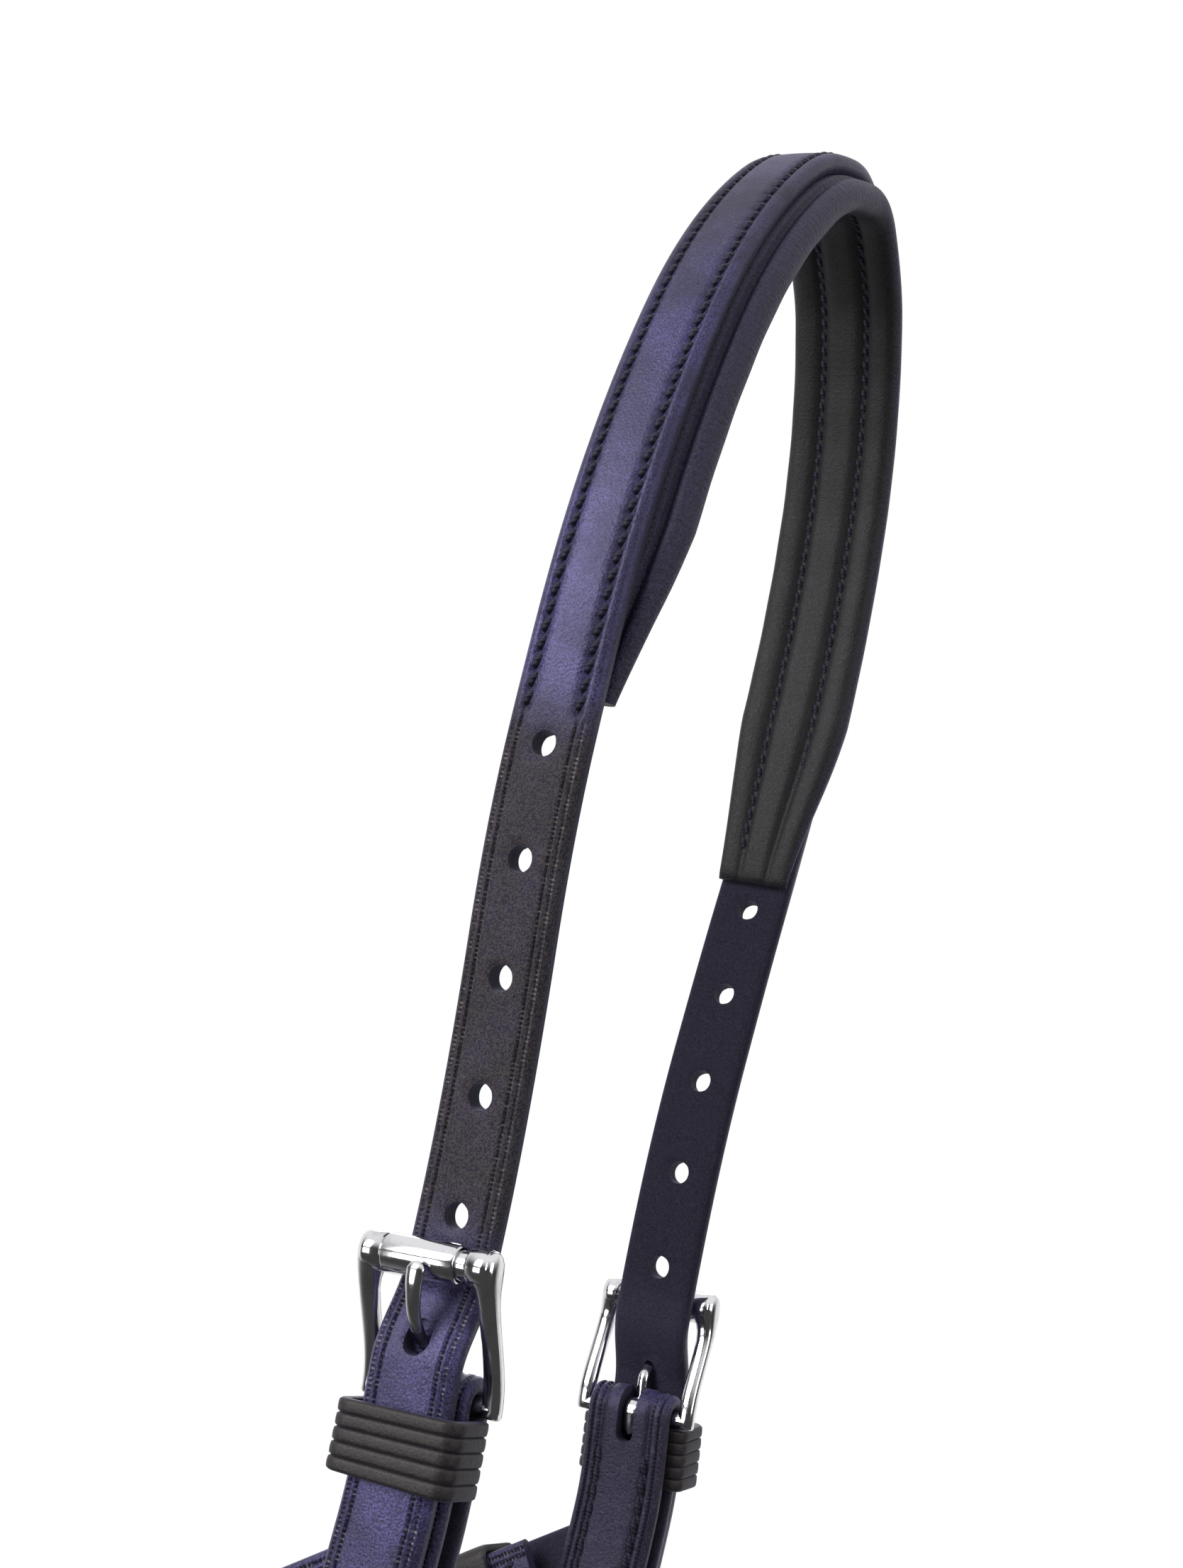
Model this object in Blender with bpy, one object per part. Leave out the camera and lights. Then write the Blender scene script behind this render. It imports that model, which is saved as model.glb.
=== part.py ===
"""A chain cavesson, hanging as on a hook: a padded crown strap over the poll, two roller buckles, cheek
straps down to two cheek rings, a jowl strap behind, and a noseband with a steel link chain, three rings
and a chin strap with its buckle.

Metres, +Z up. The origin is the underside of the crown pad at the top of its arch, where the horse's poll
bears it. +X points forward, towards the nose, and +Y to the horse's left.

Every strap follows an Arch, a flat U-shaped line. A place on an arch is (across, along, out): across the
strap, along the line from the apex (minus on the right leg, plus on the left), and out from the horse.
"""

import math

import bmesh
import bpy
from mathutils import Matrix, Vector

# Clearances
GAP = 0.0003
SLACK = 0.0004
OVERRUN = 0.004

# Strap leather: widths and thicknesses
BILLET_WIDTH = 0.020
BILLET_THICKNESS = 0.0047
CHEEK_WIDTH = 0.022
CHEEK_THICKNESS = 0.0034
SIDE_STRAP_WIDTH = 0.020
SIDE_STRAP_THICKNESS = 0.0034
RING_END_WIDTH = 0.016
EDGE_BEVEL = 0.0006

# Crown strap: length along its arch from the apex to each landmark
HOLE_COUNT = 8
HOLE_PITCH = 0.024
FIRST_HOLE = 0.2093
HOLE_RADIUS = 0.0028
USED_HOLE = 5
USED_HOLE_STRETCH = 0.0016
TIP_PAST_HOLE = 0.024
TIP_LENGTH = 0.012

# Crown pad
PAD_HALF_LENGTH = 0.2025
PAD_WIDTH = 0.0302
PAD_THICKNESS = 0.0090
PAD_SHIFT = 0.0014
PAD_END_TAPER = 0.047
PAD_END_WIDTH = 0.0196
PAD_END_THICKNESS = 0.0020

# Roller buckles
BUCKLE_WIDTH = 0.032
BUCKLE_PITCH = 0.0265
RAIL_HALF_WIDTH = 0.0020
RAIL_HALF_DEPTH = 0.0019
BLOCK_RADIUS = 0.00395
BLOCK_INSET = 0.0062
TOP_BAR_RADIUS = 0.0030
LOWER_BAR_RADIUS = 0.0019
ROLLER_RADIUS = 0.0040
ROLLER_LENGTH = 0.0170
ROLLER_SHIFT = 0.0012
TONGUE_WIDTH = 0.0034
TONGUE_THICKNESS = 0.0022
TONGUE_PADDLE_WIDTH = 0.0044
TONGUE_PADDLE_THICKNESS = 0.0016
TONGUE_EYE_RADIUS = 0.0034
TONGUE_EYE_WIDTH = 0.0038
TONGUE_SHORT = 0.0003
SLOT_LENGTH = 0.0068

# Between a buckle's bars, as shares of their pitch: the tongue's hole and the billet's rise
TONGUE_HOLE_SHARE = 0.566
BILLET_LIFT_START_SHARE = 0.1132
BILLET_LIFT_SHARE = 0.6792

# The tongue ends a little short of the roller's axis, and the roller follows from the hole in use
TONGUE_REACH = BUCKLE_PITCH - TONGUE_SHORT
HOLE_PAST_ROLLER = BUCKLE_PITCH * TONGUE_HOLE_SHARE
CROWN_ROLLER = FIRST_HOLE + USED_HOLE * HOLE_PITCH - HOLE_PAST_ROLLER
BILLET_LIFT_START = BUCKLE_PITCH * BILLET_LIFT_START_SHARE
BILLET_LIFT_LENGTH = BUCKLE_PITCH * BILLET_LIFT_SHARE

# Keepers, with raised bands, and the sliding runner
KEEPER_START = 0.0024
KEEPER_WIDTH = 0.0140
KEEPER_THICKNESS = 0.0026
KEEPER_PLAY = 0.0008
KEEPER_BANDS = 5
GROOVE_DEPTH = 0.0007
KEEPER_TUCK = 0.0065
KEEPER_CORNER = 0.0024
RUNNER_START = 0.0225
RUNNER_WIDTH = 0.0090
RUNNER_THICKNESS = 0.0020

# Cheek straps
CHEEK_OUT = 0.0014
CHEEK_LENGTH = 0.140
CHEEK_TURN_BACK = 0.064
RING_TURN_BACK = 0.040
CHEEK_TAPER_LENGTH = 0.030
CHEEK_TURN_END = 0.0012

# Cheek rings and the swinging rings
CHEEK_RING_RADIUS = 0.020
CHEEK_RING_WIRE = 0.0025
NOSE_RING_RADIUS = 0.0150
NOSE_RING_WIRE = 0.00225

# Jowl strap
JOWL_FROM_BUCKLE = 0.0349
JOWL_SLANT = math.radians(54.2)
JOWL_ROOT_PAST = 0.0040
JOWL_BAR_TO_CHEEK = 0.060
JOWL_LEG = 0.090
JOWL_TURN_BACK = 0.042
JOWL_TIP_PAST_BAR = 0.042

# Noseband
NOSE_LEG = 0.017
NOSE_BAND_WIDTH = 0.026
NOSE_BAND_THICKNESS = 0.0030
NOSE_TAPER_LENGTH = 0.012
NOSE_TURN_BACK = 0.028
NOSE_PAD_WIDTH = 0.030
NOSE_PAD_THICKNESS = 0.0080
NOSE_PAD_HALF_LENGTH = 0.076
NOSE_PAD_END_TAPER = 0.024
NOSE_PAD_END_WIDTH = 0.022

# Chain
LINK_COUNT = 11
LINK_PITCH = 0.019
LINK_RADIUS = 0.0045
LINK_WAIST = 0.0036
LINK_WAIST_HALF_LENGTH = 0.0048
PLATE_THICKNESS = 0.0016
INNER_WIDTH = 0.0070
BUSHING_RADIUS = 0.0034
PIN_RADIUS = 0.0017
PIN_HEAD = 0.0008
PIN_HEAD_RADIUS = 0.0024
CHAIN_OUT = NOSE_BAND_THICKNESS / 2 + GAP + LINK_RADIUS

# Ring staples on the chain, and the leather loops that hold the chain to its band
STAPLE_LINKS = (("right", -4), ("front", 0), ("left", 4))
STAPLE_FOOT_THICKNESS = 0.0022
STAPLE_FOOT_WIDTH = 0.0080
STAPLE_EYE_THICKNESS = 0.0050
STAPLE_EYE_RADIUS = 0.0058
STAPLE_EYE_OUT = 0.0054
STAPLE_BORE_RADIUS = 0.0034
LOOP_LINKS = (-5, -2, 2, 5)
LOOP_WIDTH = 0.0080
LOOP_THICKNESS = 0.0018
LOOP_TUCK = 0.0045

# Chin strap
CHIN_DROP = math.radians(18)
CHIN_BAR_TO_RING = 0.036
CHIN_LEG = 0.068
CHIN_BAR_TURN_BACK = 0.0190
CHIN_RING_TURN_BACK = 0.0110
CHIN_TIP_PAST_BAR = 0.0215
CHIN_HOLE_COUNT = 5
JOWL_HOLE_COUNT = 5
SIDE_USED_HOLE = 2
CHIN_TURN_BACK = 0.045

# The crown arch: (length from the apex, angle below the level) and the sideways lean of its hanging legs
CROWN_BENDS = (
    (0.0, 0.0),
    (0.010, math.radians(27.4)),
    (0.020, math.radians(31.6)),
    (0.040, math.radians(52.1)),
    (0.100, math.radians(76.4)),
    (0.180, math.radians(93.4)),
    (0.250, math.radians(98.6)),
    (0.310, math.radians(88.7)),
    (0.350, math.radians(86.0)),
    (0.372, math.radians(90.0)),
)
SWAY = 0.016
SWAY_START = 0.2075
SWAY_END = 0.3786

# The forward lean of the cheekpieces, as their weight turns them in their buckles
LEAN = 0.003
LEAN_START = 0.320
LEAN_END = 0.366

# Bends of the lower arches, as shares of the bent length, up to the legs
NOSE_BEND_SHARES = ((0.0, 0.0), (0.35, 26.0), (0.85, 80.0), (1.0, 90.0))
JAW_BEND_SHARES = ((0.0, 0.0), (0.45, 50.0), (0.80, 82.0), (1.0, 90.0))

# Mesh fineness
STRAP_STEP = 0.008
BEND_STEP = 0.0045
TIGHT_BENDS_END = 0.105
ARC_STEPS = 6
ROUND_STEPS = 12
WIRE_STEPS = 8
RING_STEPS = 22

FORWARD = Vector((1, 0, 0))
LEFT = Vector((0, 1, 0))
UP = Vector((0, 0, 1))


def material(name, colour, roughness, metallic):
    made = bpy.data.materials.new(name)
    made.use_nodes = True
    shader = made.node_tree.nodes["Principled BSDF"]
    shader.inputs["Base Color"].default_value = (*colour, 1.0)
    shader.inputs["Roughness"].default_value = roughness
    shader.inputs["Metallic"].default_value = metallic
    return made


def smooth_share(value):
    share = min(max(value, 0.0), 1.0)
    return share * share * (3 - 2 * share)


def eased(length, start, end, size):
    """A shift that grows from nothing at `start` to `size` at `end`, and its slope."""
    share = min(max((length - start) / (end - start), 0.0), 1.0)
    return size * smooth_share(share), size * 6 * share * (1 - share) / (end - start)


class Arch:
    """A flat U-shaped line with its apex on the mid-plane, open away from `out`."""

    def __init__(self, bends, out, apex=None, sway=0.0, middle=0.0, lean=0.0):
        self.bends = bends
        self.lean_width = lean
        self.out = out.normalized()
        self.across = LEFT.cross(self.out)
        self.sway_width = sway
        self.middle = middle
        self.apex = Vector((0, 0, 0)) if apex is None else apex

    def run(self, length):
        """How wide and how deep the line has gone at this length, and its angle there."""
        wide = deep = 0.0
        angle = self.bends[-1][1]
        for (start, first), (end, last) in zip(self.bends, self.bends[1:]):
            part = min(length, end) - start
            turn = (last - first) / (end - start)
            angle = first + turn * part
            if turn:
                wide += (math.sin(angle) - math.sin(first)) / turn
                deep += (math.cos(first) - math.cos(angle)) / turn
            else:
                wide += part * math.cos(first)
                deep += part * math.sin(first)
            if length <= end:
                return wide, deep, angle
        rest = length - self.bends[-1][0]
        return wide + rest * math.cos(angle), deep + rest * math.sin(angle), angle

    def sway(self, length):
        """Sideways shift at this length, and its slope."""
        return eased(length, SWAY_START, SWAY_END, self.sway_width)

    def frame(self, along):
        """The line's point, its directions across and of growing `along`, and its normal out."""
        side = 1 if along >= 0 else -1
        wide, deep, angle = self.run(abs(along))
        shift, slope = self.sway(abs(along))
        lean, lean_slope = eased(abs(along), LEAN_START, LEAN_END, self.lean_width)
        centre = self.apex + LEFT * (self.middle + side * wide + shift) - self.out * deep
        tangent = LEFT * (math.cos(angle) + side * slope) - self.out * (side * math.sin(angle))
        normal = self.across.cross(tangent).normalized()
        tangent = (tangent + self.across * (side * lean_slope)).normalized()
        return centre + self.across * lean, tangent.cross(normal), tangent, normal

    def place(self, across, along, out):
        centre, sideways, _, normal = self.frame(along)
        return centre + sideways * across + normal * out

    def matrix(self, along, out=0.0):
        """A rigid frame there: local X across, Y away from the apex, Z out."""
        side = 1 if along >= 0 else -1
        centre, sideways, tangent, normal = self.frame(along)
        return frame_matrix(sideways * side, tangent * side, normal, centre + normal * out)


def bends_for(shares, half_width):
    """The shares' bends, with the length at which the legs stand half_width from the middle."""
    unit = Arch([(share, math.radians(degrees)) for share, degrees in shares], UP)
    length = half_width / unit.run(1)[0]
    return [(share * length, math.radians(degrees)) for share, degrees in shares]


def arch_ending_at(bends, out, leg, end, middle):
    """An arch whose legs, `leg` long past the bend, end at the height and depth of the point `end`."""
    arch = Arch(bends, out, middle=middle)
    deep = arch.run(bends[-1][0] + leg)[1]
    arch.apex = Vector((end.x, 0, end.z)) + arch.out * deep
    return arch


def stations(start, end, step=STRAP_STEP):
    """Both ends and every whole step between them, so that leather laid on one arch bends at one place."""
    low, high = min(start, end), max(start, end)
    counts = range(math.ceil(low / step + 0.25), math.floor(high / step - 0.25) + 1)
    inner = [k * step for k in counts if k * step < TIGHT_BENDS_END or step == BEND_STEP or k % 2 == 0]
    return [start] + (inner if start <= end else inner[::-1]) + [end]


def mesh_from(vertices, faces, name):
    mesh = bpy.data.meshes.new(name)
    mesh.from_pydata([tuple(v) for v in vertices], [], faces)
    clean(mesh)
    return mesh


def clean(mesh):
    """Turns every face outwards."""
    work = bmesh.new()
    work.from_mesh(mesh)
    bmesh.ops.recalc_face_normals(work, faces=work.faces)
    work.to_mesh(mesh)
    work.free()


def loft(rings, closed=False):
    """Vertices and faces of a skin over rings of points, with end caps unless it closes on itself."""
    count = len(rings[0])
    vertices = [point for ring in rings for point in ring]
    faces = []
    for k in range(len(rings) if closed else len(rings) - 1):
        first = k * count
        second = (k + 1) % len(rings) * count
        for j in range(count):
            following = (j + 1) % count
            faces.append((first + j, first + following, second + following, second + j))
    if not closed:
        faces.append(tuple(range(count)))
        faces.append(tuple(range(len(vertices) - count, len(vertices))))
    return vertices, faces


def flat_object(name, rings, closed=False):
    vertices, faces = loft(rings, closed)
    made = bpy.data.objects.new(name, mesh_from(vertices, faces, name))
    bpy.context.scene.collection.objects.link(made)
    return made


def boolean(body, tools, operation):
    """Cuts the tools from the body, or joins them to it, and deletes the tools."""
    for tool in tools:
        modifier = body.modifiers.new(operation.lower(), "BOOLEAN")
        modifier.operation = operation
        modifier.solver = "EXACT"
        modifier.object = tool
    graph = bpy.context.evaluated_depsgraph_get()
    mesh = bpy.data.meshes.new_from_object(body.evaluated_get(graph))
    body.modifiers.clear()
    body.data = mesh
    for tool in tools:
        bpy.data.objects.remove(tool)


def finish_object(body, look, matrix=None, parent=None, angle=math.radians(35)):
    """Gives a world-space mesh its material and smooth shading, and its origin at the matrix."""
    body.data.name = body.name
    clean(body.data)
    body.data.materials.clear()
    body.data.materials.append(look)
    body.data.shade_smooth()
    body.data.set_sharp_from_angle(angle=angle)
    if matrix is not None:
        body.data.transform(matrix.inverted())
    if parent is None:
        body.matrix_world = matrix if matrix is not None else Matrix.Identity(4)
    else:
        body.parent = parent
        body.matrix_parent_inverse = parent.matrix_world.inverted()
        body.matrix_world = matrix if matrix is not None else Matrix.Identity(4)
    return body


def pivot(name, matrix, parent=None):
    """An empty on a joint's axis."""
    made = bpy.data.objects.new(name, None)
    bpy.context.scene.collection.objects.link(made)
    if parent is not None:
        made.parent = parent
        made.matrix_parent_inverse = parent.matrix_world.inverted()
    made.matrix_world = matrix
    bpy.context.view_layer.update()
    return made


def lay_on(body, arch):
    """Moves a flat mesh, whose points are (across, along, out), on to its arch."""
    for vertex in body.data.vertices:
        vertex.co = arch.place(*vertex.co)


def move_by(body, matrix):
    body.data.transform(matrix)


def circle(radius, steps, phase=0.0):
    turns = [2 * math.pi * (k + phase) / steps for k in range(steps)]
    return [(radius * math.cos(t), radius * math.sin(t)) for t in turns]


def round_bar(name, radius, start, end, axis, centre=(0, 0, 0), steps=ROUND_STEPS, stretch=0.0):
    """A round bar along axis 0, 1 or 2, its section stretched along the next axis to make a slot."""
    first, second = (axis + 1) % 3, (axis + 2) % 3
    rings = []
    for reach in (start, end):
        ring = []
        for a, b in circle(radius, steps, 0.5):
            point = [0.0, 0.0, 0.0]
            point[axis] = centre[axis] + reach
            point[first] = centre[first] + a
            point[second] = centre[second] + b + math.copysign(stretch / 2, b)
            ring.append(tuple(point))
        rings.append(ring)
    return flat_object(name, rings)


def box(name, low, high):
    rings = []
    for z in (low[2], high[2]):
        rings.append([(low[0], low[1], z), (high[0], low[1], z), (high[0], high[1], z), (low[0], high[1], z)])
    return flat_object(name, rings)


def strip_rings(line, width_at, thickness_at):
    """Bevelled rectangles along a line of (along, out) points, square to it."""
    rings = []
    for k, (along, out) in enumerate(line):
        before = line[max(k - 1, 0)]
        after = line[min(k + 1, len(line) - 1)]
        step = Vector((after[0] - before[0], after[1] - before[1])).normalized()
        normal = Vector((-step.y, step.x))
        half_width = width_at(k) / 2
        half = thickness_at(k) / 2
        bevel = min(EDGE_BEVEL, half / 2, half_width / 2)
        section = (
            (half_width - bevel, -half),
            (half_width, -half + bevel),
            (half_width, half - bevel),
            (half_width - bevel, half),
            (bevel - half_width, half),
            (-half_width, half - bevel),
            (-half_width, bevel - half),
            (bevel - half_width, -half),
        )
        rings.append([(x, along + normal.x * h, out + normal.y * h) for x, h in section])
    return rings


class Buckle:
    """Where a roller buckle sits on one leg of an arch, and the sizes that its leather follows."""

    def __init__(self, arch, side, roller, billet, chape, chape_width, chape_out):
        self.arch, self.side = arch, side
        self.roller = roller
        self.bar = roller + BUCKLE_PITCH
        self.billet, self.chape, self.chape_width = billet, chape, chape_width
        self.chape_out = chape_out
        self.roller_out = billet / 2 + GAP + ROLLER_RADIUS
        self.fold_radius = LOWER_BAR_RADIUS + GAP + chape / 2
        self.bar_out = chape_out - self.fold_radius
        self.lift = chape_out + chape / 2 + GAP + billet / 2
        self.lift_start = roller + BILLET_LIFT_START

    def billet_out(self, length):
        """How far the billet has risen over the folded strap at this length."""
        return self.lift * smooth_share((length - self.lift_start) / BILLET_LIFT_LENGTH)

    def matrix(self):
        """A rigid frame on the roller's axis, Y down the strap and Z out, that puts the bar in its fold."""
        roller = self.arch.place(0, self.side * self.roller, self.roller_out)
        bar = self.arch.place(0, self.side * self.bar, self.bar_out)
        across = self.arch.frame(self.side * self.bar)[1] * self.side
        fall = self.roller_out - self.bar_out
        slope = math.atan2(fall, BUCKLE_PITCH)
        step = bar - roller
        step = (step - across * step.dot(across)).normalized()
        down = step * math.cos(slope) + across.cross(step) * math.sin(slope)
        out = across.cross(down)
        return frame_matrix(across, down, out, bar - down * BUCKLE_PITCH + out * fall)


def billet_line(arch_lengths, buckle, side):
    """(along, out) points of a billet that lifts over its buckle's lower bar."""
    return [(side * length, buckle.billet_out(length)) for length in arch_lengths]


def fold(bar, out, radius, back, drop=0.0, towards=-1):
    """Line points of a strap's fold round a bar, from its turned-back end to the outer layer."""
    inner = out - 2 * radius
    points = [(bar - towards * back * share, inner) for share in (1.0, 0.5)]
    for k in range(ARC_STEPS + 1):
        turn = math.pi * k / ARC_STEPS
        points.append(
            (
                bar + towards * (drop + radius * math.sin(turn)),
                out - radius - radius * math.cos(turn),
            )
        )
    return points


def buckle_frame(name, buckle, look, parent=None):
    """A cast frame: round top bar with a block at each end, bent rails and a round lower bar."""
    rail = BUCKLE_WIDTH / 2 - RAIL_HALF_WIDTH
    block = BUCKLE_WIDTH / 2 - BLOCK_INSET
    fall = buckle.roller_out - buckle.bar_out
    pitch = BUCKLE_PITCH
    corner = BLOCK_RADIUS
    # Shares of: rail place, block radius, pitch; then the half width and half depth of the section
    half = [
        (0.0, 0.0, TOP_BAR_RADIUS, TOP_BAR_RADIUS),
        (block, 0.0, TOP_BAR_RADIUS, TOP_BAR_RADIUS),
        (block + GAP, 0.0, corner, corner),
        (rail - 0.45 * corner, 0.06 * corner, 0.97 * corner, 0.97 * corner),
        (rail - 0.08 * corner, 0.42 * corner, 0.74 * corner, 0.84 * corner),
        (rail, 1.10 * corner, 1.10 * RAIL_HALF_WIDTH, 1.35 * RAIL_HALF_DEPTH),
        (rail, 0.34 * pitch, RAIL_HALF_WIDTH, RAIL_HALF_DEPTH),
        (rail, 0.50 * pitch, RAIL_HALF_WIDTH, RAIL_HALF_DEPTH),
        (rail, 0.66 * pitch, RAIL_HALF_WIDTH, RAIL_HALF_DEPTH),
        (rail, 0.88 * pitch, RAIL_HALF_WIDTH, RAIL_HALF_DEPTH),
        (rail - 0.06 * corner, 0.965 * pitch, RAIL_HALF_WIDTH, RAIL_HALF_DEPTH),
        (rail - 0.42 * corner, pitch, LOWER_BAR_RADIUS, LOWER_BAR_RADIUS),
        (0.0, pitch, LOWER_BAR_RADIUS, LOWER_BAR_RADIUS),
    ]
    stations = half[:-1] + [(-x, y, a, b) for x, y, a, b in reversed(half[1:])]
    points = [Vector((x, y, -fall * smooth_share(y / pitch))) for x, y, _, _ in stations]
    rings = []
    for k, (_, _, wide, deep) in enumerate(stations):
        tangent = (points[(k + 1) % len(points)] - points[k - 1]).normalized()
        depth = (UP - tangent * tangent.dot(UP)).normalized()
        width = tangent.cross(depth)
        rings.append([points[k] + width * a * wide + depth * b * deep for a, b in circle(1, WIRE_STEPS, 0.5)])
    frame = flat_object(name, rings, closed=True)
    matrix = buckle.matrix()
    move_by(frame, matrix)
    return finish_object(frame, look, matrix, parent)


def buckle_roller(name, buckle, look, parent=None):
    """A rolled sheet sleeve, turning on the top bar."""
    half = ROLLER_LENGTH / 2
    sleeve = round_bar(name, ROLLER_RADIUS, -half, half, 0)
    bore = round_bar("bore", TOP_BAR_RADIUS + GAP, -half - OVERRUN, half + OVERRUN, 0)
    boolean(sleeve, [bore], "DIFFERENCE")
    matrix = buckle.matrix() @ Matrix.Translation((ROLLER_SHIFT, 0, 0))
    move_by(sleeve, matrix)
    axis = pivot(name + "_axis", matrix, parent)
    return finish_object(sleeve, look, matrix, axis)


# The tongue's bend, as shares of its reach from the bar to its tip, and of its rise to the roller's face
TONGUE_SHARES = (
    (0.03, 0.17),
    (0.20, 0.19),
    (0.335, 0.25),
    (0.455, 0.60),
    (0.62, 0.86),
    (0.82, 0.985),
    (0.93, 1.0),
    (1.0, 0.985),
)


def buckle_tongue(name, buckle, look, parent=None):
    """A bent tongue with an eye round the lower bar and a flat paddle resting on the roller."""
    roller_front = buckle.roller_out - buckle.bar_out + ROLLER_RADIUS
    rise = roller_front + GAP + TONGUE_PADDLE_THICKNESS / 2
    points = [Vector((0, -TONGUE_REACH * a, rise * b)) for a, b in TONGUE_SHARES]
    last = len(points) - 1
    rings = []
    for k, point in enumerate(points):
        tangent = (points[min(k + 1, last)] - points[max(k - 1, 0)]).normalized()
        depth = FORWARD.cross(tangent)
        paddle = smooth_share((k - 4) / 2)
        width = TONGUE_WIDTH + (TONGUE_PADDLE_WIDTH - TONGUE_WIDTH) * paddle
        thick = TONGUE_THICKNESS + (TONGUE_PADDLE_THICKNESS - TONGUE_THICKNESS) * paddle
        tip = 0.7 if k == last else 1.0
        section = circle(1, WIRE_STEPS, 0.5)
        rings.append([point + FORWARD * a * tip * width / 2 + depth * b * tip * thick / 2 for a, b in section])
    tongue = flat_object(name, rings)
    half = TONGUE_EYE_WIDTH / 2
    eye = round_bar("eye", TONGUE_EYE_RADIUS, -half, half, 0)
    boolean(tongue, [eye], "UNION")
    bore = round_bar("bore", LOWER_BAR_RADIUS + GAP, -half - OVERRUN, half + OVERRUN, 0)
    boolean(tongue, [bore], "DIFFERENCE")
    down = BUCKLE_PITCH
    matrix = buckle.matrix() @ Matrix.Translation((0, down, buckle.bar_out - buckle.roller_out))
    move_by(tongue, matrix)
    axis = pivot(name + "_axis", matrix, parent)
    return finish_object(tongue, look, matrix, axis)


def rounded_path(half_width, low, high, corner, tuck=None):
    """(across, out) points of a loop round a strap. With a tuck its ends stay open on the low side."""
    points = []
    if tuck is not None:
        points.append((half_width - tuck, low))
    corners = (
        ((half_width - corner, low + corner), -math.pi / 2),
        ((half_width - corner, high - corner), 0.0),
    )
    for (x, y), start in corners:
        for k in range(3):
            turn = start + math.pi / 2 * k / 2
            points.append((x + corner * math.cos(turn), y + corner * math.sin(turn)))
    return points + [(-x, y) for x, y in reversed(points)]


def band_loop(name, path, closed, start, width, thickness, bands, groove):
    """A leather band laid along an (across, out) path, its outer face grooved between raised bands."""
    section = [(0.0, -thickness / 2), (width, -thickness / 2)]
    steps = 2 * bands
    for k in range(steps + 1):
        share = 1 - k / steps
        in_groove = k % 2 == 0 and 0 < k < steps
        section.append((width * share, thickness / 2 - (groove if in_groove else 0.0)))
    rings = []
    last = len(path) - 1
    for k, (x, y) in enumerate(path):
        before = path[k - 1] if closed or k else path[0]
        after = path[(k + 1) % len(path)] if closed or k < last else path[last]
        step = Vector((after[0] - before[0], after[1] - before[1])).normalized()
        normal = Vector((step.y, -step.x))
        rings.append([(x + normal.x * h, start + s, y + normal.y * h) for s, h in section])
    return flat_object(name, rings, closed)


def keeper(name, buckle, look, parent=None):
    """A ribbed loop over the billet, its ends tucked between the folded strap's two layers."""
    half_width = buckle.chape_width / 2 + KEEPER_PLAY + KEEPER_THICKNESS / 2
    low = buckle.chape_out - 2 * buckle.fold_radius + buckle.chape / 2 + GAP + KEEPER_THICKNESS / 2
    high = buckle.lift + buckle.billet / 2 + GAP + KEEPER_THICKNESS / 2
    path = rounded_path(half_width, low, high, KEEPER_CORNER, KEEPER_TUCK)
    start = buckle.bar + KEEPER_START
    loop = band_loop(name, path, False, start, KEEPER_WIDTH, KEEPER_THICKNESS, KEEPER_BANDS, GROOVE_DEPTH)
    mirror_to(loop, buckle.side)
    lay_on(loop, buckle.arch)
    return finish_object(loop, look, None, parent)


def mirror_to(body, side):
    """Turns a flat mesh made for the left leg round to the right one."""
    for vertex in body.data.vertices:
        vertex.co.y *= side
    clean(body.data)


def hole_cutters(lengths, side, used):
    """Round cutters through a billet; the used hole is stretched along the strap by its tongue."""
    tools = []
    for k, length in enumerate(lengths):
        stretch = USED_HOLE_STRETCH if k == used else 0.0
        centre = (0, side * length, 0)
        reach = OVERRUN + BILLET_THICKNESS * 2
        tools.append(round_bar("hole", HOLE_RADIUS, -reach, reach, 2, centre, WIRE_STEPS, stretch))
    return tools


def tongue_slot(buckle):
    """Cutter for the slot that the tongue's eye needs in the folded strap, through both layers."""
    half = TONGUE_EYE_WIDTH / 2 + SLACK
    low = buckle.chape_out - 2 * buckle.fold_radius - buckle.chape
    high = buckle.chape_out + buckle.chape
    start = buckle.bar - buckle.fold_radius - buckle.chape
    end = buckle.bar + SLOT_LENGTH
    corner = half / 2
    outline = [(-half, start), (half, start), (half, end - corner)]
    outline += [(half - corner, end), (corner - half, end), (-half, end - corner)]
    return plate("slot", outline, low, high)


def tip_widths(lengths, tip_end, width):
    """Full width down to the tip, which narrows in a rounded point."""
    widths = []
    for length in lengths:
        share = min(max((tip_end - length) / TIP_LENGTH, 0.0), 1.0)
        widths.append(width * (0.22 + 0.78 * math.sqrt(1 - (1 - share) ** 2)))
    return widths


def tip_lengths(end):
    return [end - TIP_LENGTH * share for share in (1.0, 0.6, 0.3, 0.1, 0.0)]


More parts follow.
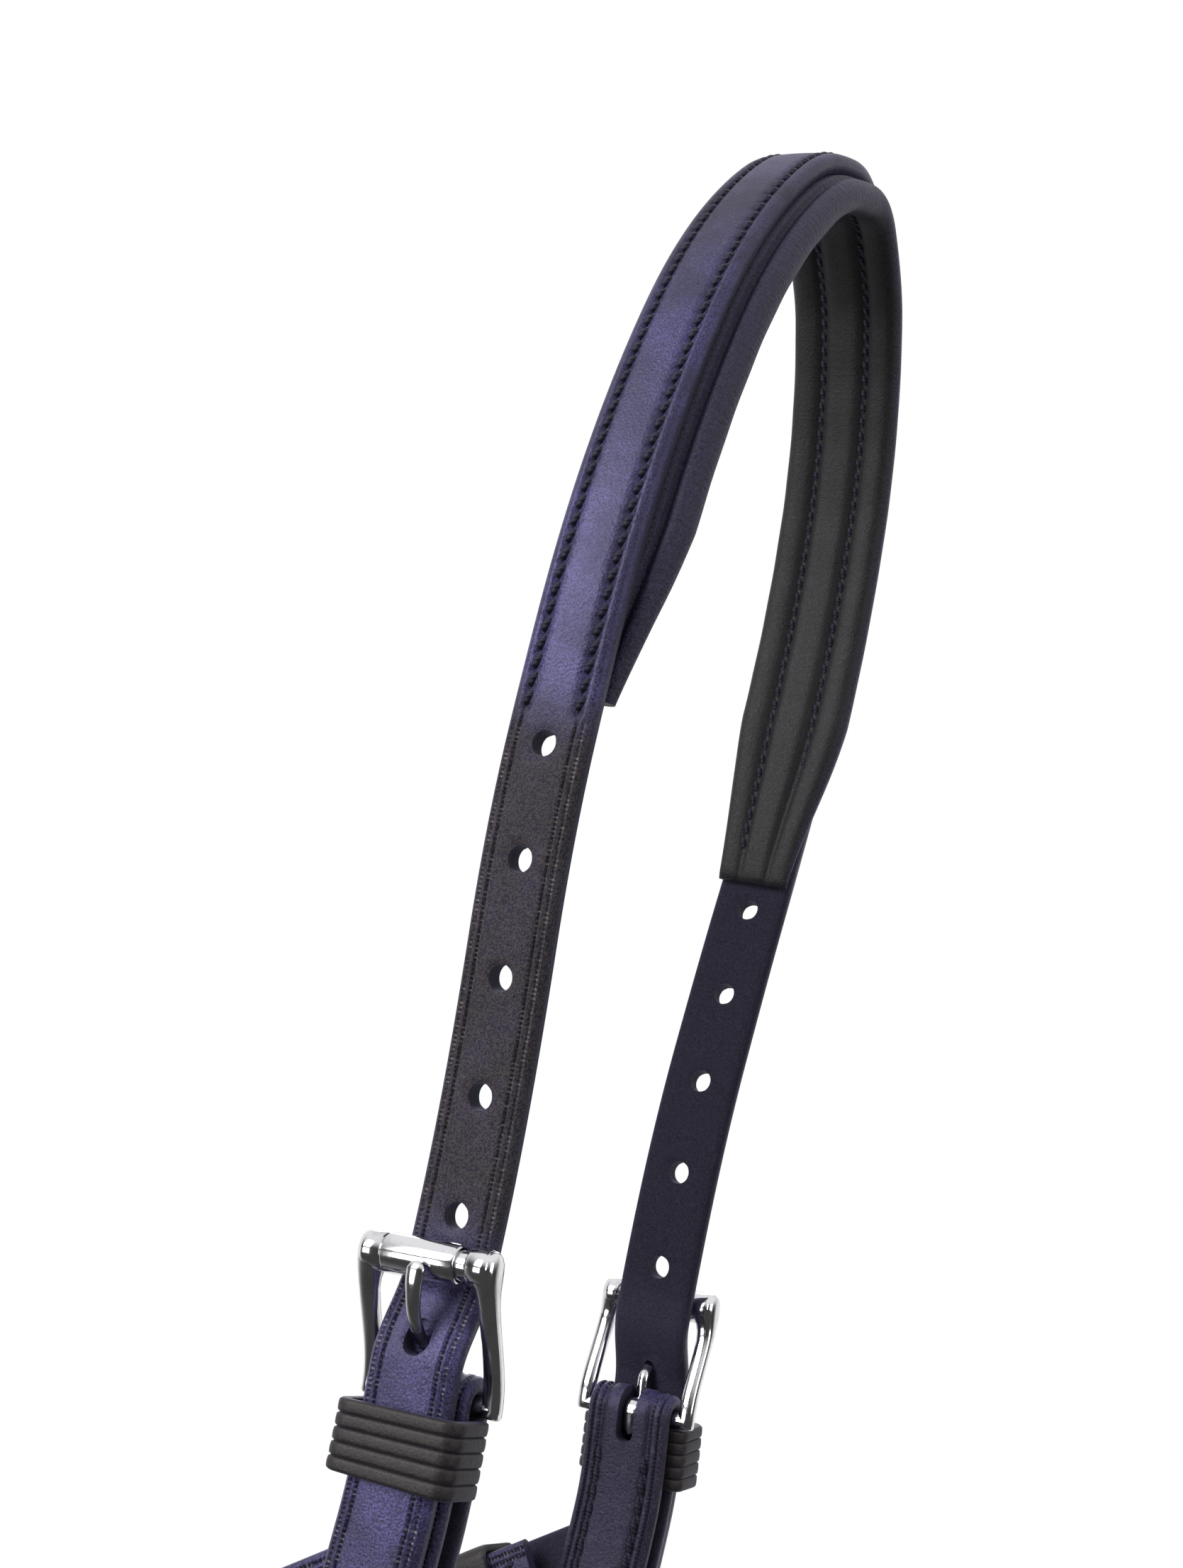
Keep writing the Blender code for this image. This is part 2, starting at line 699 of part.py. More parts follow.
def crown_strap(right, left, look):
    """The crown strap, both its billets and their punched holes."""
    last_hole = FIRST_HOLE + (HOLE_COUNT - 1) * HOLE_PITCH
    end = last_hole + TIP_PAST_HOLE
    lift_end = right.lift_start + BILLET_LIFT_LENGTH
    half = stations(0.0, right.lift_start)[1:]
    half += stations(right.lift_start, lift_end, BEND_STEP)[1:]
    half += stations(lift_end, end - TIP_LENGTH)[1:-1] + tip_lengths(end)
    lengths = [-length for length in reversed(half)] + [0.0] + half
    line = [(s, (right if s < 0 else left).billet_out(abs(s))) for s in lengths]
    widths = tip_widths([abs(s) for s in lengths], end, BILLET_WIDTH)
    rings = strip_rings(line, lambda k: widths[k], lambda k: BILLET_THICKNESS)
    strap = flat_object("crown_strap", rings)
    holes = [FIRST_HOLE + k * HOLE_PITCH for k in range(HOLE_COUNT)]
    tools = hole_cutters(holes, -1, USED_HOLE) + hole_cutters(holes, 1, USED_HOLE)
    boolean(strap, tools, "DIFFERENCE")
    lay_on(strap, right.arch)
    return finish_object(strap, look)


# Half of a pad's section, as shares of its half width and of its thickness below the strap
PAD_SHARES = (
    (0.0, 1.0),
    (0.24, 0.98),
    (0.397, 0.82),
    (0.55, 0.96),
    (0.78, 1.0),
    (0.93, 0.90),
    (1.0, 0.67),
    (0.98, 0.40),
    (0.88, 0.18),
    (0.76, 0.10),
    (0.65, 0.19),
    (0.60, 0.0),
)


def pad_rings(half_length, width, end_width, thickness, top, seat_shares, taper, shift=0.0):
    """Rings of a channelled pad under a strap whose underside is at `top`, tapered at its ends."""
    rings = []
    ends = [half_length - taper * share for share in (1.0, 0.78, 0.56, 0.34, 0.15, 0.0)]
    half = stations(0.0, ends[0])[1:] + ends[1:]
    for along in [-length for length in reversed(half)] + [0.0] + half:
        rest = min((half_length - abs(along)) / taper, 1.0)
        share = (rest + smooth_share(rest)) / 2
        wide = (end_width + (width - end_width) * share) / 2
        deep = PAD_END_THICKNESS + (thickness - PAD_END_THICKNESS) * math.sqrt(share)
        section = [(wide * a, along, top - b * deep) for a, b in seat_shares]
        section += [(-x, s, y) for x, s, y in reversed(section[1:])]
        rings.append([(x + shift * share, s, y) for x, s, y in section])
    return rings


def crown_pad(arch, look):
    """The soft lining: a rolled bead at each edge and two sewn channels along its underside."""
    top = -BILLET_THICKNESS / 2 - GAP
    sizes = (PAD_HALF_LENGTH, PAD_WIDTH, PAD_END_WIDTH, PAD_THICKNESS)
    rings = pad_rings(*sizes, top, PAD_SHARES, PAD_END_TAPER, PAD_SHIFT)
    pad = flat_object("crown_pad", rings)
    lay_on(pad, arch)
    return finish_object(pad, look, angle=math.radians(60))


def tapered(lengths, start, end, first, last):
    """Widths that change evenly between two lengths."""
    return [first + (last - first) * min(max((s - start) / (end - start), 0.0), 1.0) for s in lengths]


def cheek_strap(name, buckle, ring_at, look):
    """A cheek strap, folded round the buckle's lower bar above and round the cheek ring below."""
    ring_radius = CHEEK_RING_WIRE + GAP + CHEEK_THICKNESS / 2
    upper = fold(buckle.bar, buckle.chape_out, buckle.fold_radius, CHEEK_TURN_BACK)
    lower = fold(ring_at, buckle.chape_out, ring_radius, RING_TURN_BACK, ring_drop(), 1)
    middle = [(s, buckle.chape_out) for s in stations(buckle.bar, ring_at)[1:-1]]
    line = upper + middle + lower[::-1]
    taper_start = ring_at - CHEEK_TAPER_LENGTH
    widths = tapered([s for s, _ in line], taper_start, ring_at, CHEEK_WIDTH, RING_END_WIDTH)
    rings = strip_rings(line, lambda k: widths[k], lambda k: CHEEK_THICKNESS)
    strap = flat_object(name, rings)
    boolean(strap, [tongue_slot(buckle)], "DIFFERENCE")
    mirror_to(strap, buckle.side)
    lay_on(strap, buckle.arch)
    return finish_object(strap, look)


def ring_drop():
    """How far a cheek ring's wire falls away at the edges of the strap folded round it."""
    half = RING_END_WIDTH / 2
    return CHEEK_RING_RADIUS - math.sqrt(CHEEK_RING_RADIUS**2 - half**2) + GAP


def torus(name, radius, wire, steps=RING_STEPS):
    """A ring in the local X-Y plane."""
    rings = []
    for k in range(steps):
        turn = 2 * math.pi * k / steps
        outward = Vector((math.cos(turn), math.sin(turn), 0))
        rings.append([outward * (radius + a) + UP * b for a, b in circle(wire, WIRE_STEPS)])
    return flat_object(name, rings, closed=True)


def frame_matrix(x_axis, y_axis, z_axis, origin):
    columns = (x_axis, y_axis, z_axis)
    turned = Matrix([[column[row] for column in columns] for row in range(3)]).to_4x4()
    return Matrix.Translation(origin) @ turned


def cheek_ring(name, centre, look, parent):
    ring = torus(name, CHEEK_RING_RADIUS, CHEEK_RING_WIRE)
    matrix = frame_matrix(FORWARD, UP, FORWARD.cross(UP), centre)
    move_by(ring, matrix)
    return finish_object(ring, look, matrix, parent)


def side_billet(name, buckle, line_start, widths_start, tip_past_bar, hole_count, look, parent=None):
    """A long strap from the right side round the jaw and through the buckle on the left leg."""
    end = buckle.bar + tip_past_bar
    lift_end = buckle.lift_start + BILLET_LIFT_LENGTH
    first = line_start[-1][0]
    lengths = stations(first, buckle.lift_start)[1:]
    lengths += stations(buckle.lift_start, lift_end, BEND_STEP)[1:]
    lengths += stations(lift_end, end - TIP_LENGTH)[1:-1] + tip_lengths(end)
    line = list(line_start) + [(s, buckle.billet_out(s)) for s in lengths]
    widths = list(widths_start) + tip_widths(lengths, end, SIDE_STRAP_WIDTH)
    rings = strip_rings(line, lambda k: widths[k], lambda k: SIDE_STRAP_THICKNESS)
    strap = flat_object(name, rings)
    used = buckle.roller + HOLE_PAST_ROLLER
    holes = [used + (k - SIDE_USED_HOLE) * HOLE_PITCH for k in range(hole_count)]
    holes = [length for length in holes if length < end - HOLE_PITCH / 2]
    boolean(strap, hole_cutters(holes, 1, SIDE_USED_HOLE), "DIFFERENCE")
    lay_on(strap, buckle.arch)
    return finish_object(strap, look, None, parent)


def side_chape(name, buckle, line_end, widths_end, turn_back, look, parent=None):
    """The short strap that carries a side buckle, folded round its lower bar."""
    upper = fold(buckle.bar, buckle.chape_out, buckle.fold_radius, turn_back)
    first = line_end[0][0]
    middle = [(s, buckle.chape_out) for s in stations(buckle.bar, first)[1:-1]]
    line = upper + middle + list(line_end)
    widths = [buckle.chape_width] * (len(upper) + len(middle)) + list(widths_end)
    rings = strip_rings(line, lambda k: widths[k], lambda k: buckle.chape)
    strap = flat_object(name, rings)
    boolean(strap, [tongue_slot(buckle)], "DIFFERENCE")
    lay_on(strap, buckle.arch)
    return finish_object(strap, look, None, parent)


def buckle_set(prefix, buckle, looks, parent=None):
    """A buckle's frame, roller and tongue, and the keeper below it."""
    leather, steel = looks
    buckle_frame(prefix + "_buckle", buckle, steel, parent)
    buckle_roller(prefix + "_roller", buckle, steel, parent)
    buckle_tongue(prefix + "_tongue", buckle, steel, parent)
    keeper(prefix + "_keeper", buckle, leather, parent)


def link_outline(pitch):
    """A chain plate's outline, round ends and a narrow waist, as (along, out) points."""
    right = [(LINK_WAIST_HALF_LENGTH, -LINK_WAIST)]
    for k in range(5):
        turn = math.radians(-80 + 40 * k)
        right.append((pitch / 2 + LINK_RADIUS * math.cos(turn), LINK_RADIUS * math.sin(turn)))
    right.append((LINK_WAIST_HALF_LENGTH, LINK_WAIST))
    return right + [(-x, -y) for x, y in right]


def plate(name, outline, low, high):
    return flat_object(name, [[(x, y, z) for x, y in outline] for z in (low, high)])


def chain_link(name, matrix, outer, look, parent):
    """An outer link, two plates on two headed pins, or an inner one, two plates on two bored bushings."""
    inner_face = INNER_WIDTH / 2
    if outer:
        inner_face += PLATE_THICKNESS + GAP
    outer_face = inner_face + PLATE_THICKNESS
    outline = link_outline(LINK_PITCH)
    link = plate(name, outline, inner_face, outer_face)
    parts = [plate("plate", outline, -outer_face, -inner_face)]
    cuts = []
    for end in (-1, 1):
        centre = (end * LINK_PITCH / 2, 0, 0)
        if outer:
            reach = outer_face - PLATE_THICKNESS / 2
            parts.append(round_bar("pin", PIN_RADIUS, -reach, reach, 2, centre, 8))
            for side in (-1, 1):
                head = (outer_face - PIN_HEAD / 2) * side, (outer_face + PIN_HEAD / 2) * side
                parts.append(round_bar("head", PIN_HEAD_RADIUS, *head, 2, centre, 8))
        else:
            reach = outer_face - PLATE_THICKNESS / 2
            parts.append(round_bar("bushing", BUSHING_RADIUS, -reach, reach, 2, centre, 10))
            cut = outer_face + OVERRUN
            cuts.append(round_bar("bore", PIN_RADIUS + GAP, -cut, cut, 2, centre, 8))
    boolean(link, parts, "UNION")
    if cuts:
        boolean(link, cuts, "DIFFERENCE")
    move_by(link, matrix)
    return finish_object(link, look, matrix, parent)


def chain_pins(arch, out):
    """Lengths along the arch at which the chain's pins stand on the left, one pitch apart."""

    def spot(length):
        return arch.place(0, length, out)

    def search(start, wanted, low, high):
        for _ in range(40):
            middle = (low + high) / 2
            gap = (spot(middle) - start(middle)).length
            low, high = (middle, high) if gap < wanted else (low, middle)
        return middle

    pins = [search(lambda s: spot(-s), LINK_PITCH, 0.0, LINK_PITCH)]
    for _ in range(LINK_COUNT // 2):
        fixed = spot(pins[-1])
        pins.append(search(lambda s: fixed, LINK_PITCH, pins[-1], pins[-1] + 2 * LINK_PITCH))
    return pins


def ring_staple(name, matrix, look, parent):
    """A steel eye on a foot across the link's plates; the ring's wire runs through it along the chain."""
    half_height = INNER_WIDTH / 2 + PLATE_THICKNESS
    face = LINK_WAIST + GAP
    half = STAPLE_FOOT_WIDTH / 2
    foot = box(name, (-half, face, -half_height), (half, face + STAPLE_FOOT_THICKNESS, half_height))
    eye_out = face + STAPLE_FOOT_THICKNESS + STAPLE_EYE_OUT
    thick = STAPLE_EYE_THICKNESS / 2
    eye = round_bar("eye", STAPLE_EYE_RADIUS, -thick, thick, 0, (0, eye_out, 0), 12)
    neck_half = STAPLE_EYE_RADIUS * 0.9
    neck = box("neck", (-thick, face + STAPLE_FOOT_THICKNESS / 2, -neck_half), (thick, eye_out, neck_half))
    boolean(foot, [eye, neck], "UNION")
    reach = thick + OVERRUN
    bore = round_bar("bore", STAPLE_BORE_RADIUS, -reach, reach, 0, (0, eye_out, 0), 12)
    boolean(foot, [bore], "DIFFERENCE")
    move_by(foot, matrix)
    finish_object(foot, look, matrix, parent)
    return matrix @ Vector((0, eye_out, 0))


def nose_ring(name, link_matrix, eye, look, parent):
    """A ring that hangs from its staple; its axis runs along the chain through the wire's top."""
    along = link_matrix.to_3x3() @ Vector((1, 0, 0))
    hang = (UP - along * along.dot(UP)).normalized()
    wire = eye - hang * (STAPLE_BORE_RADIUS - NOSE_RING_WIRE - 2 * GAP)
    ring = torus(name, NOSE_RING_RADIUS, NOSE_RING_WIRE, 20)
    matrix = frame_matrix(along, hang, along.cross(hang), wire - hang * NOSE_RING_RADIUS)
    move_by(ring, matrix)
    axis_matrix = frame_matrix(along, hang, along.cross(hang), wire)
    axis = pivot(name + "_axis", axis_matrix, parent)
    return finish_object(ring, look, axis_matrix, axis)


def chain_loop(name, arch, middle, link_out, look, parent):
    """A leather loop over the waist of a link, its ends tucked behind the band's edges."""
    half_width = NOSE_BAND_WIDTH / 2 + SLACK + LOOP_THICKNESS / 2
    low = -NOSE_BAND_THICKNESS / 2 - SLACK - LOOP_THICKNESS / 2
    high = link_out + LINK_WAIST + SLACK + LOOP_THICKNESS / 2
    path = rounded_path(half_width, low, high, LOOP_THICKNESS, LOOP_TUCK)
    start = middle - LOOP_WIDTH / 2
    loop = band_loop(name, path, False, start, LOOP_WIDTH, LOOP_THICKNESS, 1, 0.0)
    lay_on(loop, arch)
    return finish_object(loop, look, None, parent)


def nose_band(arch, ring_at, look, parent):
    """The leather band under the chain, folded round both cheek rings."""
    radius = CHEEK_RING_WIRE + GAP + NOSE_BAND_THICKNESS / 2
    end = fold(ring_at, 0.0, radius, NOSE_TURN_BACK, ring_drop(), 1)
    half = [(s, 0.0) for s in stations(0.0, ring_at)[1:-1]] + end[::-1]
    line = [(-s, out) for s, out in reversed(half)] + [(0.0, 0.0)] + half
    start = ring_at - NOSE_TAPER_LENGTH
    widths = tapered([abs(s) for s, _ in line], start, ring_at, NOSE_BAND_WIDTH, RING_END_WIDTH)
    turned = {k for k, (_, out) in enumerate(line) if out < -radius}
    widths = [RING_END_WIDTH if k in turned else width for k, width in enumerate(widths)]
    rings = strip_rings(line, lambda k: widths[k], lambda k: NOSE_BAND_THICKNESS)
    band = flat_object("nose_band", rings)
    lay_on(band, arch)
    return finish_object(band, look, None, parent)


# Half of the nose pad's section; it falls away behind the band's edges, where the loops' ends lie
NOSE_PAD_SHARES = (
    (0.0, 1.0),
    (0.22, 0.98),
    (0.40, 0.84),
    (0.58, 0.98),
    (0.82, 0.94),
    (0.97, 0.72),
    (1.0, 0.50),
    (0.92, 0.33),
    (0.56, 0.28),
    (0.46, 0.0),
)


def nose_pad(arch, look, parent):
    top = -NOSE_BAND_THICKNESS / 2 - GAP
    sizes = (NOSE_PAD_HALF_LENGTH, NOSE_PAD_WIDTH, NOSE_PAD_END_WIDTH, NOSE_PAD_THICKNESS)
    rings = pad_rings(*sizes, top, NOSE_PAD_SHARES, NOSE_PAD_END_TAPER)
    pad = flat_object("nose_pad", rings)
    lay_on(pad, arch)
    return finish_object(pad, look, None, parent, math.radians(60))


def runner(name, buckle, look):
    """A plain loop that slides along the billet and the folded strap."""
    half_width = buckle.chape_width / 2 + SLACK + RUNNER_THICKNESS / 2
    low = buckle.chape_out - 2 * buckle.fold_radius - buckle.chape / 2 - SLACK - RUNNER_THICKNESS / 2
    high = buckle.lift + buckle.billet / 2 + SLACK + RUNNER_THICKNESS / 2
    path = rounded_path(half_width, low, high, KEEPER_CORNER)
    start = buckle.bar + RUNNER_START
    loop = band_loop(name, path, True, start, RUNNER_WIDTH, RUNNER_THICKNESS, 1, 0.0)
    lay_on(loop, buckle.arch)
    matrix = buckle.arch.matrix(start + RUNNER_WIDTH / 2)
    axis = pivot(name + "_axis", matrix)
    return finish_object(loop, look, matrix, axis)


def head_piece(leather, lining, steel):
    """The crown strap, its pad, and each side's buckle and cheek strap. Returns the crown arch and buckles."""
    apex = UP * (PAD_THICKNESS + GAP + BILLET_THICKNESS / 2)
    arch = Arch(CROWN_BENDS, UP, apex, SWAY, lean=LEAN)
    sides = []
    for side, word in ((-1, "right"), (1, "left")):
        buckle = Buckle(
            arch, side, CROWN_ROLLER, BILLET_THICKNESS, CHEEK_THICKNESS, CHEEK_WIDTH, CHEEK_OUT
        )
        sides.append(buckle)
        buckle_set(word + "_cheek", buckle, (leather, steel))
        cheek_strap(word + "_cheek_strap", buckle, buckle.bar + CHEEK_LENGTH, leather)
    crown_strap(*sides, leather)
    crown_pad(arch, lining)
    return arch, sides


def jowl(crown, cheek, leather, steel):
    """The strap round the jaw: its ends lie between the layers of the cheek straps."""
    at = cheek.bar + JOWL_FROM_BUCKLE
    root_out = cheek.bar_out
    crossing = crown.place(0, at, root_out)
    middle = crown.sway(at)[0]
    half_width = crossing.y - middle
    out = Vector((-math.sin(JOWL_SLANT), 0, -math.cos(JOWL_SLANT)))
    bends = bends_for(JAW_BEND_SHARES, half_width)
    arch = arch_ending_at(bends, out, JOWL_LEG, crossing, middle)
    end = bends[-1][0] + JOWL_LEG
    bar = end - JOWL_BAR_TO_CHEEK
    thick = SIDE_STRAP_THICKNESS
    buckle = Buckle(arch, 1, bar - BUCKLE_PITCH, thick, thick, SIDE_STRAP_WIDTH, 0.0)
    root = end + JOWL_ROOT_PAST
    start = [(-root, 0.0)]
    side_billet(
        "jowl_strap", buckle, start, [SIDE_STRAP_WIDTH], JOWL_TIP_PAST_BAR, JOWL_HOLE_COUNT, leather
    )
    side_chape("jowl_chape", buckle, [(root, 0.0)], [SIDE_STRAP_WIDTH], JOWL_TURN_BACK, leather)
    buckle_set("jowl", buckle, (leather, steel))
    runner("jowl_runner", buckle, leather)


def noseband(crown, cheek, leather, lining, steel):
    """The swinging lower part: cheek rings, band, pad, chain, rings and the chin strap."""
    at = cheek.bar + CHEEK_LENGTH
    wire_out = CHEEK_OUT - CHEEK_THICKNESS / 2 - GAP - CHEEK_RING_WIRE
    middle = crown.sway(at)[0]
    rings = {}
    for side, word in ((-1, "right"), (1, "left")):
        rings[word] = crown.place(0, side * at, wire_out) - UP * CHEEK_RING_RADIUS
    centre = (rings["right"] + rings["left"]) / 2
    half = (rings["left"] - rings["right"]).length / 2
    swing = pivot("noseband_axis", Matrix.Translation(centre))
    for word, place in rings.items():
        cheek_ring(word + "_cheek_ring", place, steel, swing)

    wire_in = CHEEK_RING_WIRE + GAP + NOSE_BAND_THICKNESS / 2
    bends = bends_for(NOSE_BEND_SHARES, half + wire_in)
    front_wire = centre + FORWARD * CHEEK_RING_RADIUS
    nose = arch_ending_at(bends, FORWARD, NOSE_LEG, front_wire, middle)
    nose_band(nose, bends[-1][0] + NOSE_LEG, leather, swing)
    nose_pad(nose, lining, swing)
    chain(nose, leather, steel, swing)
    chin(centre, half, middle, leather, steel, swing)


def chain(nose, leather, steel, swing):
    """Eleven links along the band, three ring staples with their rings, and four leather loops."""
    left = chain_pins(nose, CHAIN_OUT)
    pins = [-s for s in reversed(left)] + left
    reach = LINK_COUNT // 2
    matrices = {}
    middles = {}
    for index in range(-reach, reach + 1):
        middles[index] = (pins[index + reach] + pins[index + reach + 1]) / 2
        first = nose.place(0, pins[index + reach], CHAIN_OUT)
        second = nose.place(0, pins[index + reach + 1], CHAIN_OUT)
        along = (second - first).normalized()
        out = along.cross(UP)
        matrices[index] = frame_matrix(along, out, along.cross(out), (first + second) / 2)
        name = f"chain_link_{index + reach + 1:02d}"
        chain_link(name, matrices[index], index % 2 == reach % 2, steel, swing)
    for word, index in STAPLE_LINKS:
        eye = ring_staple(word + "_ring_staple", matrices[index], steel, swing)
        nose_ring(word + "_nose_ring", matrices[index], eye, steel, swing)
    for number, index in enumerate(LOOP_LINKS, 1):
        surface = nose.place(0, middles[index], 0)
        link_out = (matrices[index].translation - surface).length
        chain_loop(f"chain_loop_{number}", nose, middles[index], link_out, leather, swing)


def chin(centre, half, middle, leather, steel, swing):
    """The chin strap: folded round the right cheek ring, and buckled on a short strap from the left one."""
    thick = SIDE_STRAP_THICKNESS
    wire_in = CHEEK_RING_WIRE + GAP + thick / 2
    bends = bends_for(JAW_BEND_SHARES, half + wire_in)
    out = Vector((-math.cos(CHIN_DROP), 0, -math.sin(CHIN_DROP)))
    rear_wire = centre + out * CHEEK_RING_RADIUS
    arch = arch_ending_at(bends, out, CHIN_LEG, rear_wire, middle)
    ring_at = bends[-1][0] + CHIN_LEG
    bar = ring_at - CHIN_BAR_TO_RING
    buckle = Buckle(arch, 1, bar - BUCKLE_PITCH, thick, thick, SIDE_STRAP_WIDTH, 0.0)
    radius = wire_in
    drop = ring_drop()
    right = [(-s, y) for s, y in fold(ring_at, 0.0, radius, CHIN_TURN_BACK, drop, 1)]
    leg_end = ring_at - CHEEK_TAPER_LENGTH
    right_widths = [RING_END_WIDTH] * len(right)
    right.append((-leg_end, 0.0))
    right_widths.append(SIDE_STRAP_WIDTH)
    side_billet(
        "chin_strap", buckle, right, right_widths, CHIN_TIP_PAST_BAR, CHIN_HOLE_COUNT, leather, swing
    )
    left = fold(ring_at, 0.0, radius, CHIN_RING_TURN_BACK, drop, 1)[::-1]
    widths = [RING_END_WIDTH] * len(left)
    side_chape("chin_chape", buckle, left, widths, CHIN_BAR_TURN_BACK, leather, swing)
    buckle_set("chin", buckle, (leather, steel), swing)


def main():
    for old in list(bpy.data.objects):
        bpy.data.objects.remove(old)
    leather = material("black leather", (0.018, 0.016, 0.024), 0.42, 0.0)
    lining = material("soft black lining leather", (0.014, 0.013, 0.018), 0.55, 0.0)
    steel = material("polished steel", (0.78, 0.78, 0.80), 0.12, 1.0)
    crown, cheeks = head_piece(leather, lining, steel)
    jowl(crown, cheeks[1], leather, steel)
    noseband(crown, cheeks[1], leather, lining, steel)


main()
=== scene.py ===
import math

import bmesh
import bpy
from mathutils import Matrix, Vector


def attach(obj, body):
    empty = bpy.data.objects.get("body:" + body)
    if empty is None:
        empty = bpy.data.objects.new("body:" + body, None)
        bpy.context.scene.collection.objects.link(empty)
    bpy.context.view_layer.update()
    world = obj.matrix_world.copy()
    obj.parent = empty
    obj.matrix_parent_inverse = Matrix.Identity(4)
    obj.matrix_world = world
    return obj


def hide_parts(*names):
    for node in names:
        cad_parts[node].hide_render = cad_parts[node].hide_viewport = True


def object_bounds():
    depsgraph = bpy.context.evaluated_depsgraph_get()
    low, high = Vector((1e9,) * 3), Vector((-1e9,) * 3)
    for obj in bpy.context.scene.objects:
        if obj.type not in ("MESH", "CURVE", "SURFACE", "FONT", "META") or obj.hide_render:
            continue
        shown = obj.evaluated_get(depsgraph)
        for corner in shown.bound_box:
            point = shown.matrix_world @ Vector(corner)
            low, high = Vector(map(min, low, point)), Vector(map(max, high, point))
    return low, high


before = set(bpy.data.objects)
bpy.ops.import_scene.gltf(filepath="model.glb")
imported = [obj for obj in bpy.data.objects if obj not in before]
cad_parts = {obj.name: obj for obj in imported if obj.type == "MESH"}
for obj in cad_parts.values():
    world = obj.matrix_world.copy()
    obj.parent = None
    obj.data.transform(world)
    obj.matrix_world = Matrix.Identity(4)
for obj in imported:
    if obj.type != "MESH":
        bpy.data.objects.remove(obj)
cad_box = [list(corner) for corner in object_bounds()]

# The looks of a chain cavesson. Every leather piece lies on the same arches as its solid, in finer
# meshes with edges, creases, stitches and punched holes; every steel piece is a finer casting or bar.
# A place on an arch is (across, along, out), as in the part's source. Metres.

# Camera: place, turn, climb and roll from the photo, and its focal length in pixels
CAMERA_PLACE = (0.1743, -0.36169, -0.26222)
CAMERA_YAW = math.radians(28.58)
CAMERA_PITCH = math.radians(13.95)
CAMERA_ROLL = math.radians(15.62)
FOCAL_PIXELS = 2431.8
PHOTO_HEIGHT = 2212
SENSOR = 36.0

# Clearances, as in the part
GAP = 0.0003
SLACK = 0.0004
OVERRUN = 0.004

# A cut that leaves a wall is tried again with its cutter nudged
CUT_TRIES = 6
CUT_NUDGE = 0.000007

# Straps, as in the part
BILLET_WIDTH = 0.020
BILLET_THICKNESS = 0.0047
CHEEK_WIDTH = 0.022
CHEEK_THICKNESS = 0.0034
SIDE_STRAP_WIDTH = 0.020
SIDE_STRAP_THICKNESS = 0.0034
RING_END_WIDTH = 0.016
HOLE_COUNT = 8
HOLE_PITCH = 0.024
FIRST_HOLE = 0.2093
HOLE_RADIUS = 0.0028
USED_HOLE = 5
USED_HOLE_STRETCH = 0.0016
TIP_PAST_HOLE = 0.024
TIP_LENGTH = 0.012

# Crown pad, as in the part
PAD_HALF_LENGTH = 0.2025
PAD_WIDTH = 0.0302
PAD_THICKNESS = 0.0090
PAD_SHIFT = 0.0014
PAD_END_TAPER = 0.047
PAD_END_WIDTH = 0.0196
PAD_END_THICKNESS = 0.0020

# How much sooner the right end of the crown pad stops, how far the middle of a pad's top is pressed into
# its strap so that no light shows between them, and how a pad's filling puckers: size, wave and start
PAD_SHORT = 0.0042
PRESSED_SHARE = 0.30
PRESSED_DEPTH = 0.00015
PUCKERS = ((0.012, 0.0031, 0.0), (0.010, 0.0123, 1.0))
PUCKERED_FROM = 0.3

# Roller buckles, as in the part
BUCKLE_WIDTH = 0.032
BUCKLE_PITCH = 0.0265
RAIL_HALF_WIDTH = 0.0020
RAIL_HALF_DEPTH = 0.0019
BLOCK_RADIUS = 0.00395
BLOCK_INSET = 0.0062
TOP_BAR_RADIUS = 0.0030
LOWER_BAR_RADIUS = 0.0019
ROLLER_RADIUS = 0.0040
ROLLER_LENGTH = 0.0170
ROLLER_SHIFT = 0.0012
TONGUE_WIDTH = 0.0034
TONGUE_THICKNESS = 0.0022
TONGUE_PADDLE_WIDTH = 0.0044
TONGUE_PADDLE_THICKNESS = 0.0016
TONGUE_EYE_RADIUS = 0.0034
TONGUE_EYE_WIDTH = 0.0038
TONGUE_SHORT = 0.0003
SLOT_LENGTH = 0.0068
TONGUE_HOLE_SHARE = 0.566
BILLET_LIFT_START_SHARE = 0.1132
BILLET_LIFT_SHARE = 0.6792
TONGUE_REACH = BUCKLE_PITCH - TONGUE_SHORT
HOLE_PAST_ROLLER = BUCKLE_PITCH * TONGUE_HOLE_SHARE
CROWN_ROLLER = FIRST_HOLE + USED_HOLE * HOLE_PITCH - HOLE_PAST_ROLLER
BILLET_LIFT_START = BUCKLE_PITCH * BILLET_LIFT_START_SHARE
BILLET_LIFT_LENGTH = BUCKLE_PITCH * BILLET_LIFT_SHARE

# Keepers and runner, as in the part
KEEPER_START = 0.0024
KEEPER_WIDTH = 0.0140
KEEPER_THICKNESS = 0.0026
KEEPER_PLAY = 0.0008
KEEPER_BANDS = 5
KEEPER_TUCK = 0.0065
KEEPER_CORNER = 0.0024
RUNNER_START = 0.0225
RUNNER_WIDTH = 0.0090
RUNNER_THICKNESS = 0.0020

# Cheek straps and rings, as in the part
CHEEK_OUT = 0.0014
CHEEK_LENGTH = 0.140
CHEEK_TURN_BACK = 0.064
RING_TURN_BACK = 0.040
CHEEK_TAPER_LENGTH = 0.030
CHEEK_RING_RADIUS = 0.020
CHEEK_RING_WIRE = 0.0025
NOSE_RING_RADIUS = 0.0150
NOSE_RING_WIRE = 0.00225

